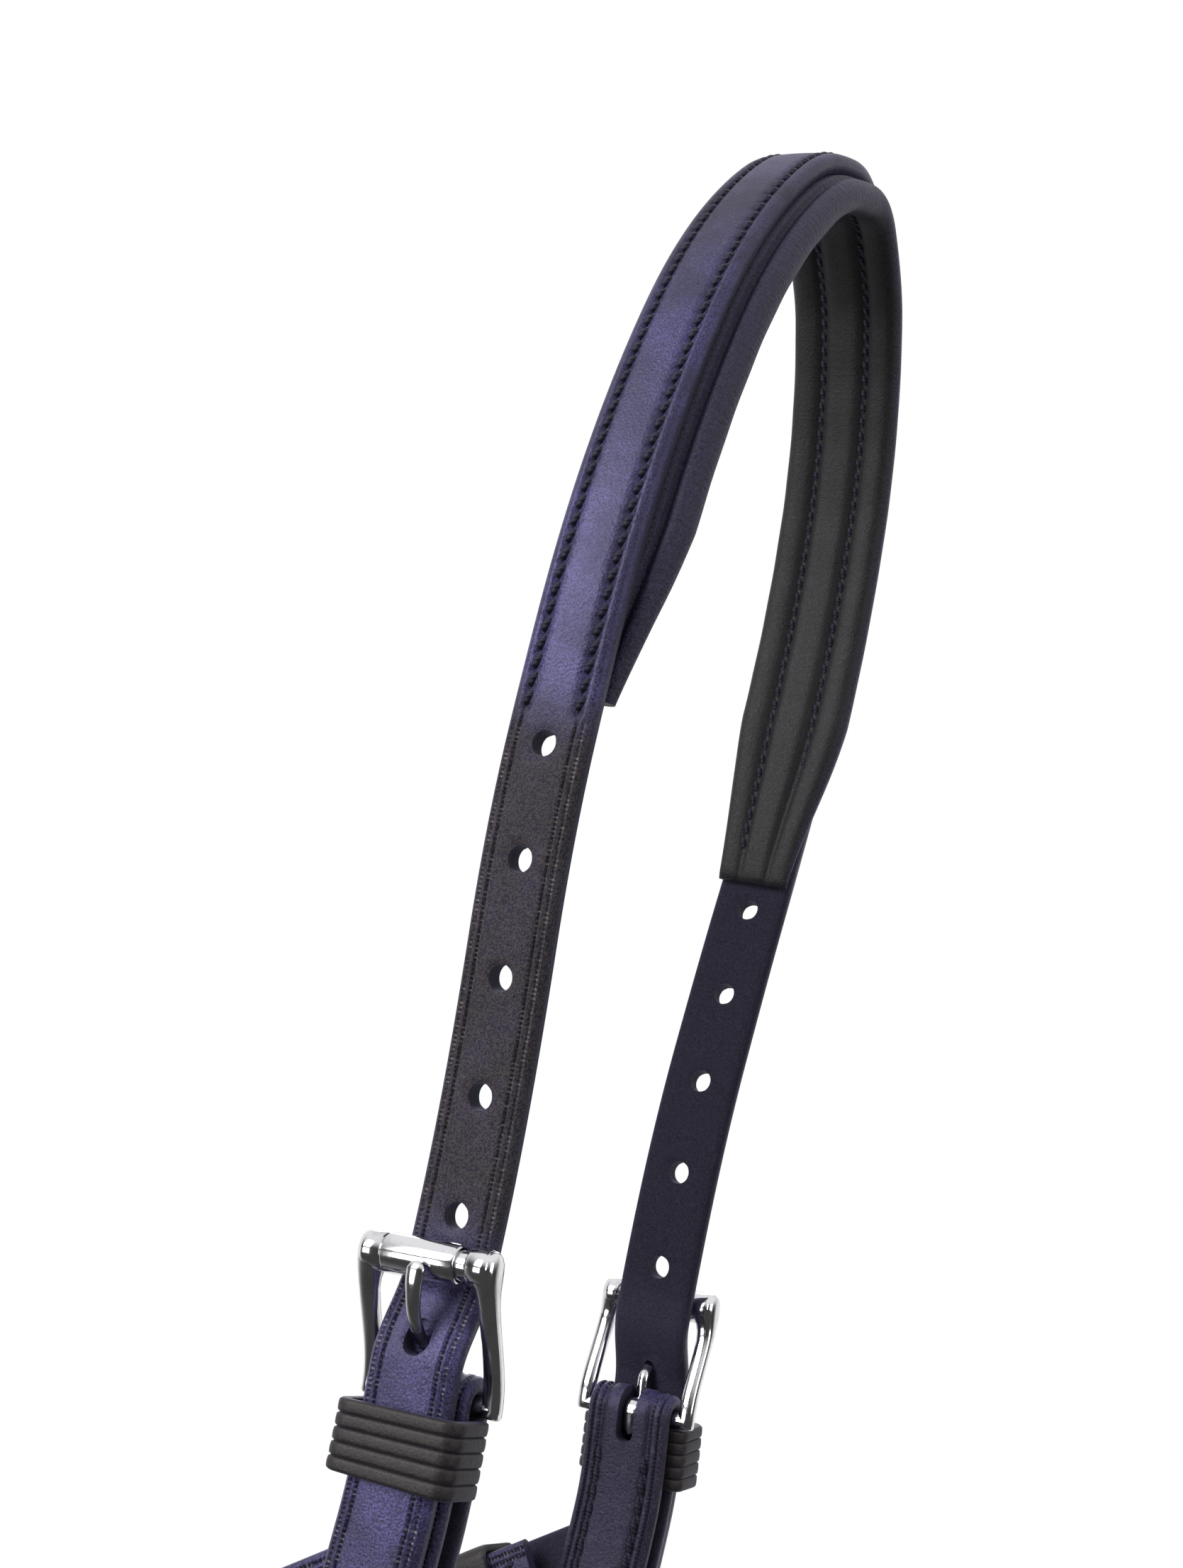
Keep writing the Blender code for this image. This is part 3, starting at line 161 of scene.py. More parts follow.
# Jowl strap, as in the part
JOWL_FROM_BUCKLE = 0.0349
JOWL_SLANT = math.radians(54.2)
JOWL_ROOT_PAST = 0.0040
JOWL_BAR_TO_CHEEK = 0.060
JOWL_LEG = 0.090
JOWL_TURN_BACK = 0.042
JOWL_TIP_PAST_BAR = 0.042

# Noseband, as in the part
NOSE_LEG = 0.017
NOSE_BAND_WIDTH = 0.026
NOSE_BAND_THICKNESS = 0.0030
NOSE_TAPER_LENGTH = 0.012
NOSE_TURN_BACK = 0.028
NOSE_PAD_WIDTH = 0.030
NOSE_PAD_THICKNESS = 0.0080
NOSE_PAD_HALF_LENGTH = 0.076
NOSE_PAD_END_TAPER = 0.024
NOSE_PAD_END_WIDTH = 0.022

# Chain, staples and loops, as in the part
LINK_COUNT = 11
LINK_PITCH = 0.019
LINK_RADIUS = 0.0045
LINK_WAIST = 0.0036
LINK_WAIST_HALF_LENGTH = 0.0048
PLATE_THICKNESS = 0.0016
INNER_WIDTH = 0.0070
BUSHING_RADIUS = 0.0034
PIN_RADIUS = 0.0017
PIN_HEAD = 0.0008
PIN_HEAD_RADIUS = 0.0024
CHAIN_OUT = NOSE_BAND_THICKNESS / 2 + GAP + LINK_RADIUS
STAPLE_LINKS = (("right", -4), ("front", 0), ("left", 4))
STAPLE_FOOT_THICKNESS = 0.0022
STAPLE_FOOT_WIDTH = 0.0080
STAPLE_EYE_THICKNESS = 0.0050
STAPLE_EYE_RADIUS = 0.0058
STAPLE_EYE_OUT = 0.0054
STAPLE_BORE_RADIUS = 0.0034
LOOP_LINKS = (-5, -2, 2, 5)
LOOP_WIDTH = 0.0080
LOOP_THICKNESS = 0.0018
LOOP_TUCK = 0.0045

# Chin strap, as in the part
CHIN_DROP = math.radians(18)
CHIN_BAR_TO_RING = 0.036
CHIN_LEG = 0.068
CHIN_BAR_TURN_BACK = 0.0190
CHIN_RING_TURN_BACK = 0.0110
CHIN_TIP_PAST_BAR = 0.0215
CHIN_TURN_BACK = 0.045
SIDE_HOLE_COUNT = 5
SIDE_USED_HOLE = 2

# The crown arch, its sway and the lean of the cheekpieces, as in the part
CROWN_BENDS = (
    (0.0, 0.0),
    (0.010, math.radians(27.4)),
    (0.020, math.radians(31.6)),
    (0.040, math.radians(52.1)),
    (0.100, math.radians(76.4)),
    (0.180, math.radians(93.4)),
    (0.250, math.radians(98.6)),
    (0.310, math.radians(88.7)),
    (0.350, math.radians(86.0)),
    (0.372, math.radians(90.0)),
)
SWAY = 0.016
SWAY_START = 0.2075
SWAY_END = 0.3786
LEAN = 0.003
LEAN_START = 0.320
LEAN_END = 0.366
NOSE_BEND_SHARES = ((0.0, 0.0), (0.35, 26.0), (0.85, 80.0), (1.0, 90.0))
JAW_BEND_SHARES = ((0.0, 0.0), (0.45, 50.0), (0.80, 82.0), (1.0, 90.0))

# Finish of the leather: edges, creases, stitch rows and punched rims
EDGE_ROUND = 0.42
TIP_SHARE = 0.22
CREASE_SHARES = (0.82, 0.65)
CREASE_REACH = 0.00058
CREASE_DEPTH = 0.00060
CROWN_ROW = 0.0062
CROWN_ROW_REACH = 0.0017
CROWN_ROW_DEPTH = 0.00085
CROWN_STITCH = 0.00404
CROWN_STITCH_COUNT = 50
CROWN_STITCH_START = CROWN_STITCH_COUNT * CROWN_STITCH
CROWN_THREAD = 0.0010
CROWN_CROWN = 0.0006
FINE_ROW_IN = 0.0048
FINE_STITCH = 0.0048
FINE_THREAD = 0.00074
FINE_ROW_REACH = 0.0010
FINE_ROW_DEPTH = 0.00055
USED_FOOT_SHIFT = 0.0012
USED_FOOT_SHARE = 0.50
RIM_REACH = 0.0012
RIM_DEPTH = 0.00055
PAD_ROW = 0.0060
PAD_ROW_SHARE = 0.82
RIB_DEPTH = 0.00062

# The tongue's slimmer neck and face, and the tail behind its eye
TONGUE_NECK_SHARE = 0.80
TONGUE_FACE_SHARE = 0.92
TONGUE_TAIL = 0.0052
TONGUE_TAIL_THICKNESS = 0.0012
TONGUE_TAIL_LOW = LOWER_BAR_RADIUS + GAP + TONGUE_TAIL_THICKNESS / 2

# Where rows of stitches start and end: past the crown's last stitch, a slot, a turned-back end, a taper
STITCHED_FADE = 0.003
STITCHED_PAST = 0.004
ROW_PAST = 0.002
ROW_SHORT = 0.003
ROW_PAST_TAPER = 0.010

# A stitch's stations along half of it, and how far it fills its step, narrows to its ends, rises, sinks,
# slants and is pressed flat, as shares of its radius
STITCH_STATIONS = (-1.0, -0.78, -0.4, 0.0, 0.4, 0.78, 1.0)
STITCH_FILL = 0.48
STITCH_NARROWING = 0.55
STITCH_LIFT = 0.23
STITCH_SINK = 0.95
STITCH_SLANT = 0.75
STITCH_FLATNESS = 0.9

# How far past a ring the turned-back end of a strap is drawn in to its outer layer, and the share of that
# which the chin's short strap has
PINCH_RUN = 0.012
CHIN_PINCH_SHARE = 0.8

# The material's count round a strap: 0 at the middle of its face, 1 at its edge, BACK_MIDDLE at the middle
# of its back. A cut edge takes the rough flesh side's darker colour, which also paints shade into punched
# holes and slots
BACK_MIDDLE = 2.3
EDGE_PLACE = 1.5

# How far steel edges are eased, and the small radii at which turned ends close
BLOCK_EASE = 0.0012
ROLLER_EASE = 0.0005
TONGUE_EYE_EASE = 0.0006
STAPLE_EYE_EASE = 0.0009
PIN_EASE = 0.0002
PIN_DOME = 0.0001
PIN_CENTRE = 0.00001
BLOCK_CENTRE = 0.00002

# How far round sections are flattened towards squares: a lower power is squarer
RAIL_POWER = 0.72
TONGUE_POWER = 0.7
FOOT_POWER = 0.35

# How fine the meshes are
STITCHED_STEP = CROWN_STITCH / 6
HOLE_STEP = 0.0006
PLAIN_STEP = 0.0025
PAD_STEP = 0.0022
RAIL_STEP = 0.0016
TUCK_STEP = 0.001
LOOP_TOP_STEP = 0.0016
LOOP_BACK_STEP = 0.002
POINT_GAP = 0.00012
FOLD_STEPS = 14
RING_STEPS = 64
WIRE_STEPS = 18
TONGUE_STEPS = 16
HOLE_SIDES = 32
STITCH_SIDES = 8
BLOCK_STEPS = 40
LOWER_BAR_STEPS = 28
ROLLER_STEPS = 56
TONGUE_EYE_STEPS = 32
PIN_STEPS = 24
BUSHING_STEPS = 28
STAPLE_EYE_STEPS = 40
FOOT_SIDES = 32
SEARCH_STEPS = 40

# A quarter turn, and how far round its end a link plate goes on each side before its waist
QUARTER = math.pi / 2
PLATE_END_TURN = math.radians(80)


LEFT = Vector((0, 1, 0))
FORWARD = Vector((1, 0, 0))
UP = Vector((0, 0, 1))


def clamped(value):
    return min(max(value, 0.0), 1.0)


def smooth_share(value):
    share = clamped(value)
    return share * share * (3 - 2 * share)


def eased(length, start, end, size):
    """A shift that grows from nothing at `start` to `size` at `end`, and its slope."""
    share = clamped((length - start) / (end - start))
    return size * smooth_share(share), size * 6 * share * (1 - share) / (end - start)


def turns(steps, start=0.0, sweep=2 * math.pi):
    """Evenly spread angles, both ends kept."""
    return [start + sweep * k / steps for k in range(steps + 1)]


def circle(radius, steps, phase=0.5):
    angles = [2 * math.pi * (k + phase) / steps for k in range(steps)]
    return [(radius * math.cos(t), radius * math.sin(t)) for t in angles]


def flattened(value, power):
    """A share of a circle's radius, pressed out towards a square."""
    return math.copysign(abs(value) ** power, value)


def mirrored(half):
    """A whole run of (across, other) points, from its half, which starts on the middle."""
    return [(-x, y) for x, y in reversed(half[1:])] + half


def frame_matrix(x_axis, y_axis, z_axis, origin):
    columns = (x_axis, y_axis, z_axis)
    turned = Matrix([[column[row] for column in columns] for row in range(3)]).to_4x4()
    return Matrix.Translation(origin) @ turned


class Arch:
    """A flat U-shaped line with its apex on the mid-plane, open away from `out`."""

    def __init__(self, bends, out, apex=None, sway=0.0, middle=0.0, lean=0.0):
        self.bends = bends
        self.lean_width = lean
        self.out = out.normalized()
        self.across = LEFT.cross(self.out)
        self.sway_width = sway
        self.middle = middle
        self.apex = apex or Vector((0, 0, 0))
        self.known = {}

    def run(self, length):
        """How wide and how deep the line has gone at this length, and its angle there."""
        wide = deep = 0.0
        angle = self.bends[-1][1]
        for (start, first), (end, last) in zip(self.bends, self.bends[1:]):
            part = min(length, end) - start
            turn = (last - first) / (end - start)
            angle = first + turn * part
            if turn:
                wide += (math.sin(angle) - math.sin(first)) / turn
                deep += (math.cos(first) - math.cos(angle)) / turn
            else:
                wide += part * math.cos(first)
                deep += part * math.sin(first)
            if length <= end:
                return wide, deep, angle
        rest = length - self.bends[-1][0]
        return wide + rest * math.cos(angle), deep + rest * math.sin(angle), angle

    def frame(self, along):
        """The line's point, its directions across and of growing `along`, and its normal out."""
        if along in self.known:
            return self.known[along]
        side = 1 if along >= 0 else -1
        wide, deep, angle = self.run(abs(along))
        shift, slope = eased(abs(along), SWAY_START, SWAY_END, self.sway_width)
        lean, lean_slope = eased(abs(along), LEAN_START, LEAN_END, self.lean_width)
        centre = self.apex + LEFT * (self.middle + side * wide + shift) - self.out * deep
        tangent = LEFT * (math.cos(angle) + side * slope) - self.out * (side * math.sin(angle))
        normal = self.across.cross(tangent).normalized()
        tangent = (tangent + self.across * (side * lean_slope)).normalized()
        self.known[along] = centre + self.across * lean, tangent.cross(normal), tangent, normal
        return self.known[along]

    def place(self, across, along, out):
        centre, sideways, _, normal = self.frame(along)
        return centre + sideways * across + normal * out


def bends_for(shares, half_width):
    """The shares' bends, with the length at which the legs stand half_width from the middle."""
    bends = [(share, math.radians(degrees)) for share, degrees in shares]
    length = half_width / Arch(bends, UP).run(1)[0]
    return [(share * length, angle) for share, angle in bends]


def arch_ending_at(bends, out, leg, end, middle):
    """An arch whose legs, `leg` long past the bend, end at the height and depth of the point `end`."""
    arch = Arch(bends, out, middle=middle)
    deep = arch.run(bends[-1][0] + leg)[1]
    arch.apex = Vector((end.x, 0, end.z)) + arch.out * deep
    return arch


class Buckle:
    """Where a roller buckle sits on one leg of an arch, and the sizes that its leather follows."""

    def __init__(self, arch, side, roller, billet, chape, chape_width, chape_out):
        self.arch, self.side = arch, side
        self.roller = roller
        self.bar = roller + BUCKLE_PITCH
        self.billet, self.chape, self.chape_width = billet, chape, chape_width
        self.chape_out = chape_out
        self.roller_out = billet / 2 + GAP + ROLLER_RADIUS
        self.fold_radius = LOWER_BAR_RADIUS + GAP + chape / 2
        self.bar_out = chape_out - self.fold_radius
        self.inner_out = chape_out - 2 * self.fold_radius
        self.fall = self.roller_out - self.bar_out
        self.lift = chape_out + chape / 2 + GAP + billet / 2
        self.lift_start = roller + BILLET_LIFT_START

    def billet_out(self, length):
        """How far the billet has risen over the folded strap at this length."""
        return self.lift * smooth_share((length - self.lift_start) / BILLET_LIFT_LENGTH)

    def matrix(self):
        """A rigid frame on the roller's axis, Y down the strap and Z out, that puts the bar in its fold."""
        roller = self.arch.place(0, self.side * self.roller, self.roller_out)
        bar = self.arch.place(0, self.side * self.bar, self.bar_out)
        across = self.arch.frame(self.side * self.bar)[1] * self.side
        slope = math.atan2(self.fall, BUCKLE_PITCH)
        step = bar - roller
        step = (step - across * step.dot(across)).normalized()
        down = step * math.cos(slope) + across.cross(step) * math.sin(slope)
        out = across.cross(down)
        return frame_matrix(across, down, out, bar - down * BUCKLE_PITCH + out * self.fall)

    def fold(self, turn_back):
        """The folded strap's line from its turned-back end round the lower bar."""
        return fold(self.bar, self.chape_out, self.fold_radius, turn_back)

    def turned_back(self, turn_back):
        """Where the stitches of the turned-back end start and end, and how far out its back lies."""
        start = self.bar + SLOT_LENGTH + ROW_PAST
        return start, self.bar + turn_back - ROW_SHORT, lambda s: self.inner_out - self.chape / 2

    def line_to(self, end):
        """The folded strap's outer layer from the lower bar to this length, neither end kept."""
        return [(s, self.chape_out) for s in even_steps(self.bar, end, PLAIN_STEP)[1:-1]]


def even_steps(start, end, step):
    """Evenly spread lengths from start to end, both kept."""
    count = max(1, math.ceil(abs(end - start) / step))
    return [start + (end - start) * k / count for k in range(count + 1)]


def join_lengths(*runs):
    """Runs of lengths, one after another, with no length twice."""
    joined = list(runs[0])
    for run in runs[1:]:
        joined += [s for s in run if s > joined[-1] + HOLE_STEP / 4]
    return joined


def hole_lengths(start, end, holes, step=PLAIN_STEP):
    """Lengths from start to end, close together round each hole."""
    reach = HOLE_RADIUS + USED_HOLE_STRETCH + RIM_REACH
    runs = []
    at = start
    for hole in holes:
        if hole - reach > at + HOLE_STEP:
            runs.append(even_steps(at, hole - reach, step))
            at = hole - reach
        if hole + reach > at:
            runs.append(even_steps(at, min(hole + reach, end), HOLE_STEP))
            at = min(hole + reach, end)
    if end > at:
        runs.append(even_steps(at, end, step))
    return join_lengths(*runs)


def walked(path, closed=False):
    """Each point of a flat path, its normal to the left, and how far the path has run there."""
    found = []
    travelled = 0.0
    last = len(path) - 1
    for k, spot in enumerate(path):
        before = path[k - 1] if closed or k else spot
        after = path[(k + 1) % len(path)] if closed or k < last else spot
        step = Vector((after[0] - before[0], after[1] - before[1])).normalized()
        if k:
            travelled += math.dist(path[k - 1], spot)
        found.append((*spot, Vector((-step.y, step.x)), travelled))
    return found


def new_object(name, data):
    made = bpy.data.objects.new(name, data)
    bpy.context.scene.collection.objects.link(made)
    return made


def mesh_object(name, work):
    mesh = bpy.data.meshes.new(name)
    work.to_mesh(mesh)
    work.free()
    return new_object(name, mesh)


def add_skin(work, rings, lengths, skins=None, closed=False):
    """Faces over rings of points. Their UV map holds the length along them and the place round them."""
    layer = work.loops.layers.uv.active or work.loops.layers.uv.new("UVMap")
    grid = [[work.verts.new(point) for point in ring] for ring in rings]
    count = len(rings[0])
    skins = skins or [k / count for k in range(count + 1)]
    for k in range(len(rings) if closed else len(rings) - 1):
        first, second = grid[k], grid[(k + 1) % len(rings)]
        low = lengths[k]
        high = lengths[k + 1] if k + 1 < len(lengths) else 2 * lengths[-1] - lengths[-2]
        for j in range(count):
            following = (j + 1) % count
            face = work.faces.new((first[j], first[following], second[following], second[j]))
            corners = ((low, skins[j]), (low, skins[j + 1]), (high, skins[j + 1]), (high, skins[j]))
            for loop, corner in zip(face.loops, corners):
                loop[layer].uv = corner
    if not closed:
        work.faces.new(grid[0])
        work.faces.new(grid[-1])


def skin(rings, lengths, skins=None, closed=False):
    work = bmesh.new()
    add_skin(work, rings, lengths, skins, closed)
    return mesh_object("skin", work)


def walls_left(mesh):
    """How many edges of a mesh have a face too many, as when a cut has left its cutter's wall behind."""
    work = bmesh.new()
    work.from_mesh(mesh)
    count = sum(len(edge.link_faces) == 3 for edge in work.edges)
    work.free()
    return count


def cut(body, tools):
    """Cuts the tools from the body and deletes them. A cut that leaves a wall is made again, nudged."""
    for tool in tools:
        for attempt in range(CUT_TRIES):
            tool.location.x = CUT_NUDGE * attempt
            modifier = body.modifiers.new("cut", "BOOLEAN")
            modifier.operation = "DIFFERENCE"
            modifier.solver = "EXACT"
            modifier.object = tool
            graph = bpy.context.evaluated_depsgraph_get()
            mesh = bpy.data.meshes.new_from_object(body.evaluated_get(graph))
            body.modifiers.clear()
            if not walls_left(mesh):
                break
        body.data = mesh
        bpy.data.objects.remove(tool)


def merge(body, others):
    """Adds other objects' meshes to the body's, and deletes them."""
    work = bmesh.new()
    work.from_mesh(body.data)
    for other in others:
        work.from_mesh(other.data)
        bpy.data.objects.remove(other)
    work.to_mesh(body.data)
    work.free()


def dress(piece, name, look, body, arch=None, side=1, matrix=None, sharp=50):
    """Names a piece, lays it in its place, gives it its look, and says what it rides on and replaces.

    Stitches replace nothing and take the slot of the leather that they are sewn in."""
    mesh = piece.data
    piece.name = name if look == "thread" else "fine_" + name
    if arch is not None:
        for vertex in mesh.vertices:
            across, along, out = vertex.co
            vertex.co = arch.place(across, side * along, out)
    if matrix is not None:
        mesh.transform(matrix)
    work = bmesh.new()
    work.from_mesh(mesh)
    bmesh.ops.recalc_face_normals(work, faces=work.faces)
    work.to_mesh(mesh)
    work.free()
    mesh.materials.clear()
    mesh.materials.append(looks[look])
    for polygon in mesh.polygons:
        polygon.material_index = 0
    mesh.shade_smooth()
    mesh.set_sharp_from_angle(angle=math.radians(sharp))
    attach(piece, body)
    if look != "thread":
        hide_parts(name)
    return piece


def revolve(profile, steps, at=(0, 0, 0), turn=None):
    """A closed (along, radius) profile turned round the local X axis, then turned and moved."""
    angles = turns(steps)[:-1]
    rings = [[(x, r * math.cos(t), r * math.sin(t)) for x, r in profile] for t in angles]
    made = skin(rings, [t * profile[0][1] for t in angles], closed=True)
    made.data.transform(Matrix.Translation(at) @ (turn or Matrix()))
    return made


def tube(half, inner, outer, ease, steps, at=(0, 0, 0), turn=None):
    """A sleeve round the local X axis, its ends rounded over."""
    points = [(-half + ease * 0.5, inner), (-half, inner + ease * 0.5)]
    for t in turns(3, sweep=QUARTER):
        points.append((-half + ease * (1 - math.cos(t)), outer - ease * (1 - math.sin(t))))
    return revolve(points + [(-x, r) for x, r in reversed(points)], steps, at, turn)


def ring_body(radius, wire):
    """A round ring in the local X-Y plane."""
    rings = []
    for angle in turns(RING_STEPS)[:-1]:
        outward = Vector((math.cos(angle), math.sin(angle), 0))
        rings.append([outward * (radius + a) + UP * b for a, b in circle(wire, WIRE_STEPS, 0.0)])
    return skin(rings, [angle * radius for angle in turns(RING_STEPS)[:-1]], closed=True)


def curve_through(points, steps):
    """Points of a smooth curve through the given ones, its ends kept."""
    smooth = []
    last = len(points) - 1
    for k in range(last):
        p0, p1, p2, p3 = points[max(k - 1, 0)], points[k], points[k + 1], points[min(k + 2, last)]
        for t in (j / steps for j in range(steps)):
            smooth.append(tuple(
                0.5 * (2 * b + (c - a) * t + (2 * a - 5 * b + 4 * c - d) * t * t
                       + (3 * b - a - 3 * c + d) * t ** 3)
                for a, b, c, d in zip(p0, p1, p2, p3)
            ))
    return smooth + [points[-1]]


# Looks


class Tree:
    """A tree of shader nodes, built one output at a time."""

    def __init__(self, tree):
        self.tree = tree

    def link(self, source, target):
        if hasattr(source, "is_output"):
            self.tree.links.new(source, target)
        elif source is not None:
            target.default_value = source

    def add(self, kind, *values, **settings):
        """A new node with its first inputs linked or set. An input given None keeps its own value."""
        node = self.tree.nodes.new("ShaderNode" + kind)
        for key, value in settings.items():
            setattr(node, key, value)
        for value, target in zip(values, node.inputs):
            self.link(value, target)
        return node

    def math(self, operation, *values):
        """The values worked together one after another."""
        result = values[0]
        for value in values[1:] or (None,):
            result = self.add("Math", result, value, operation=operation).outputs[0]
        return result

    def total(self, *values):
        return self.math("ADD", *values)

    def times(self, *values):
        return self.math("MULTIPLY", *values)

    def highest(self, *values):
        return self.math("MAXIMUM", *values)

    def rest(self, share):
        return self.math("SUBTRACT", 1.0, share)

    def along_way(self, place, way):
        return self.add("VectorMath", place, way, operation="DOT_PRODUCT").outputs["Value"]

    def between(self, value, low, high, start=0.0, end=1.0):
        """From start to end, smoothly, as the value goes from low to high."""
        values = (value, low, high, start, end)
        return self.add("MapRange", *values, interpolation_type="SMOOTHSTEP").outputs[0]

    def line(self, value, middle, reach):
        """One at the middle, falling to nothing a reach away."""
        away = self.math("ABSOLUTE", self.math("SUBTRACT", value, middle))
        return self.between(away, 0.0, reach, 1.0, 0.0)

    def mix(self, share, first, second):
        unused = [None] * 5
        return self.add("Mix", share, *unused, first, second, data_type="RGBA").outputs[2]


class Look(Tree):
    """A material's nodes: the place in the scene, the length along a piece and the place round it."""

    def __init__(self, name):
        self.material = bpy.data.materials.new(name)
        self.material.use_nodes = True
        super().__init__(self.material.node_tree)
        self.shader = self.tree.nodes["Principled BSDF"]
        self.place = self.add("TexCoord").outputs["Object"]
        self.along, self.round = self.add("SeparateXYZ", self.add("UVMap").outputs["UV"]).outputs[:2]

    def noise(self, scale, detail=2.0, roughness=0.5, vector=None):
        place = vector or self.place
        return self.add("TexNoise", place, None, scale, detail, roughness).outputs["Fac"]

    def cells(self, scale, smooth):
        node = self.add("TexVoronoi", self.place, None, scale, feature="SMOOTH_F1")
        node.inputs["Smoothness"].default_value = smooth
        return node.outputs["Distance"]

    def finish(self, colour, roughness, height, strength, **even):
        """Joins up the shader. The height shows as bumps, and even values are set on the shader itself."""
        bump = self.add("Bump")
        bump.inputs["Distance"].default_value = 1.0
        bump.inputs["Strength"].default_value = strength
        self.link(height, bump.inputs["Height"])
        self.link(bump.outputs["Normal"], self.shader.inputs["Normal"])
        self.link(colour, self.shader.inputs["Base Color"])
        self.link(roughness, self.shader.inputs["Roughness"])
        for key, value in even.items():
            self.shader.inputs[key.replace("_", " ")].default_value = value
        return self.material


# Colours
# The violet colours are a painted violet sheen; the warm colours are the leather's own dark tone
VIOLET_SHEEN_DARK = (0.0075, 0.0064, 0.020, 1.0)
VIOLET_SHEEN_LIGHT = (0.056, 0.050, 0.152, 1.0)
WARM_DARK = (0.0030, 0.0022, 0.0016, 1.0)
WARM_LIGHT = (0.023, 0.0165, 0.0095, 1.0)
BILLET_GOLDEN_SHEEN = (0.044, 0.037, 0.018, 1.0)
SCUFFED = (0.10, 0.095, 0.12, 1.0)
EDGE_DARK = (0.010, 0.0095, 0.011, 1.0)
EDGE_LIGHT = (0.034, 0.033, 0.036, 1.0)
BACK_DARK = (0.004, 0.0038, 0.0050, 1.0)
BACK_LIGHT = (0.015, 0.014, 0.019, 1.0)
LINING_DARK = (0.0020, 0.0019, 0.0020, 1.0)
LINING_LIGHT = (0.009, 0.0086, 0.0090, 1.0)
THREAD_DARK = (0.0015, 0.0015, 0.002, 1.0)
THREAD_LIGHT = (0.010, 0.0095, 0.012, 1.0)
DUST_AND_SHEEN = (0.21, 0.195, 0.18, 1.0)
STEEL = (0.74, 0.74, 0.765, 1.0)
STEEL_SMEARED = (0.60, 0.59, 0.60, 1.0)
FLOOR = (0.82, 0.82, 0.82, 1.0)
WHITE = (1.0, 1.0, 1.0, 1.0)
SHEEN_TINT = (0.52, 0.50, 1.0, 1.0)
VIOLET_GLOSS = (0.62, 0.59, 1.0, 1.0)
PLAIN_GLOSS = (0.92, 0.88, 0.90, 1.0)
STRAP_GLOSS = 0.58
KEEPER_GLOSS = 0.46
LINING_GLOSS = 0.36

# Where the painted sheen and shade change, as lengths from the crown's apex: a violet sheen painted over
# the pad, painted shade in a warmer tone at the poll, and painted shade in the warm tone on the billets
PADDED_REACH = 0.2025
PADDED_FADE = 0.006
WARM_END = 0.300
WARM_FADE = 0.022
POLL_SHADE_START = 0.035
POLL_SHADE_END = 0.070

# The patterns: how fine, how detailed and how rough each noise is, then between which levels it shows
SPECKS = (2500, 4, 0.7)
SPECK_LEVELS = (0.42, 0.60)
CLOUDS = (55, 5, 0.6)
CLOUD_LEVELS = (0.40, 0.64)
SCUFFS = (420, 5, 0.65)
SCUFF_LEVELS = (0.56, 0.75)
RIB_DUST_AND_SHEEN = (420, 3, 0.7)
RIB_DUST_AND_SHEEN_LEVELS = (0.44, 0.60)
PORES = (2900, 3, 0.6)
WRINKLES = (240, 3, 0.6)
FIBRES = (900, 5, 0.75)
GRAIN = (1500, 0.4)
LINING_GRAIN = (1700, 0.6)
LINING_SPECKS = (2600, 3, 0.6)
LINING_SPECK_LEVELS = (0.36, 0.66)
LINING_SLACK = (90, 3)
SMEARS = (160, 4, 0.6)
SMEAR_LEVELS = (0.45, 0.7)
MARKS = (300, 5, 0.7)

# How far the patterns stand off their surfaces
GRAIN_HEIGHT = 0.00009
PORE_HEIGHT = 0.00010
WRINKLE_HEIGHT = 0.00009
FIBRE_HEIGHT = 0.00022
RIB_HEIGHT = 0.00008
LINING_GRAIN_HEIGHT = 0.00007
LINING_SPECK_HEIGHT = 0.00005
LINING_WRINKLE_HEIGHT = 0.00045
LINING_SLACK_HEIGHT = 0.0003
STRAND_HEIGHT = 0.00008
FUZZ_HEIGHT = 0.00003
STEEL_WAVE_HEIGHT = 0.00012
STEEL_LINE_HEIGHT = 0.000006
FLOOR_HEIGHT = 0.0004

# The thread's strands and the creases' small ribs, and the places round a strap and round a pad at which
# its parts change
STRAND_PITCH = 0.0011
RIB_PITCH = 0.00095
RIB_REACH = 0.07
# How far the painted shade reaches round each crease line
CREASE_SHADE_REACH = 0.035
FACE_END = (0.985, 1.02)
BACK_START = (1.28, 1.34)
ROLLED_START = (0.42, 0.55)


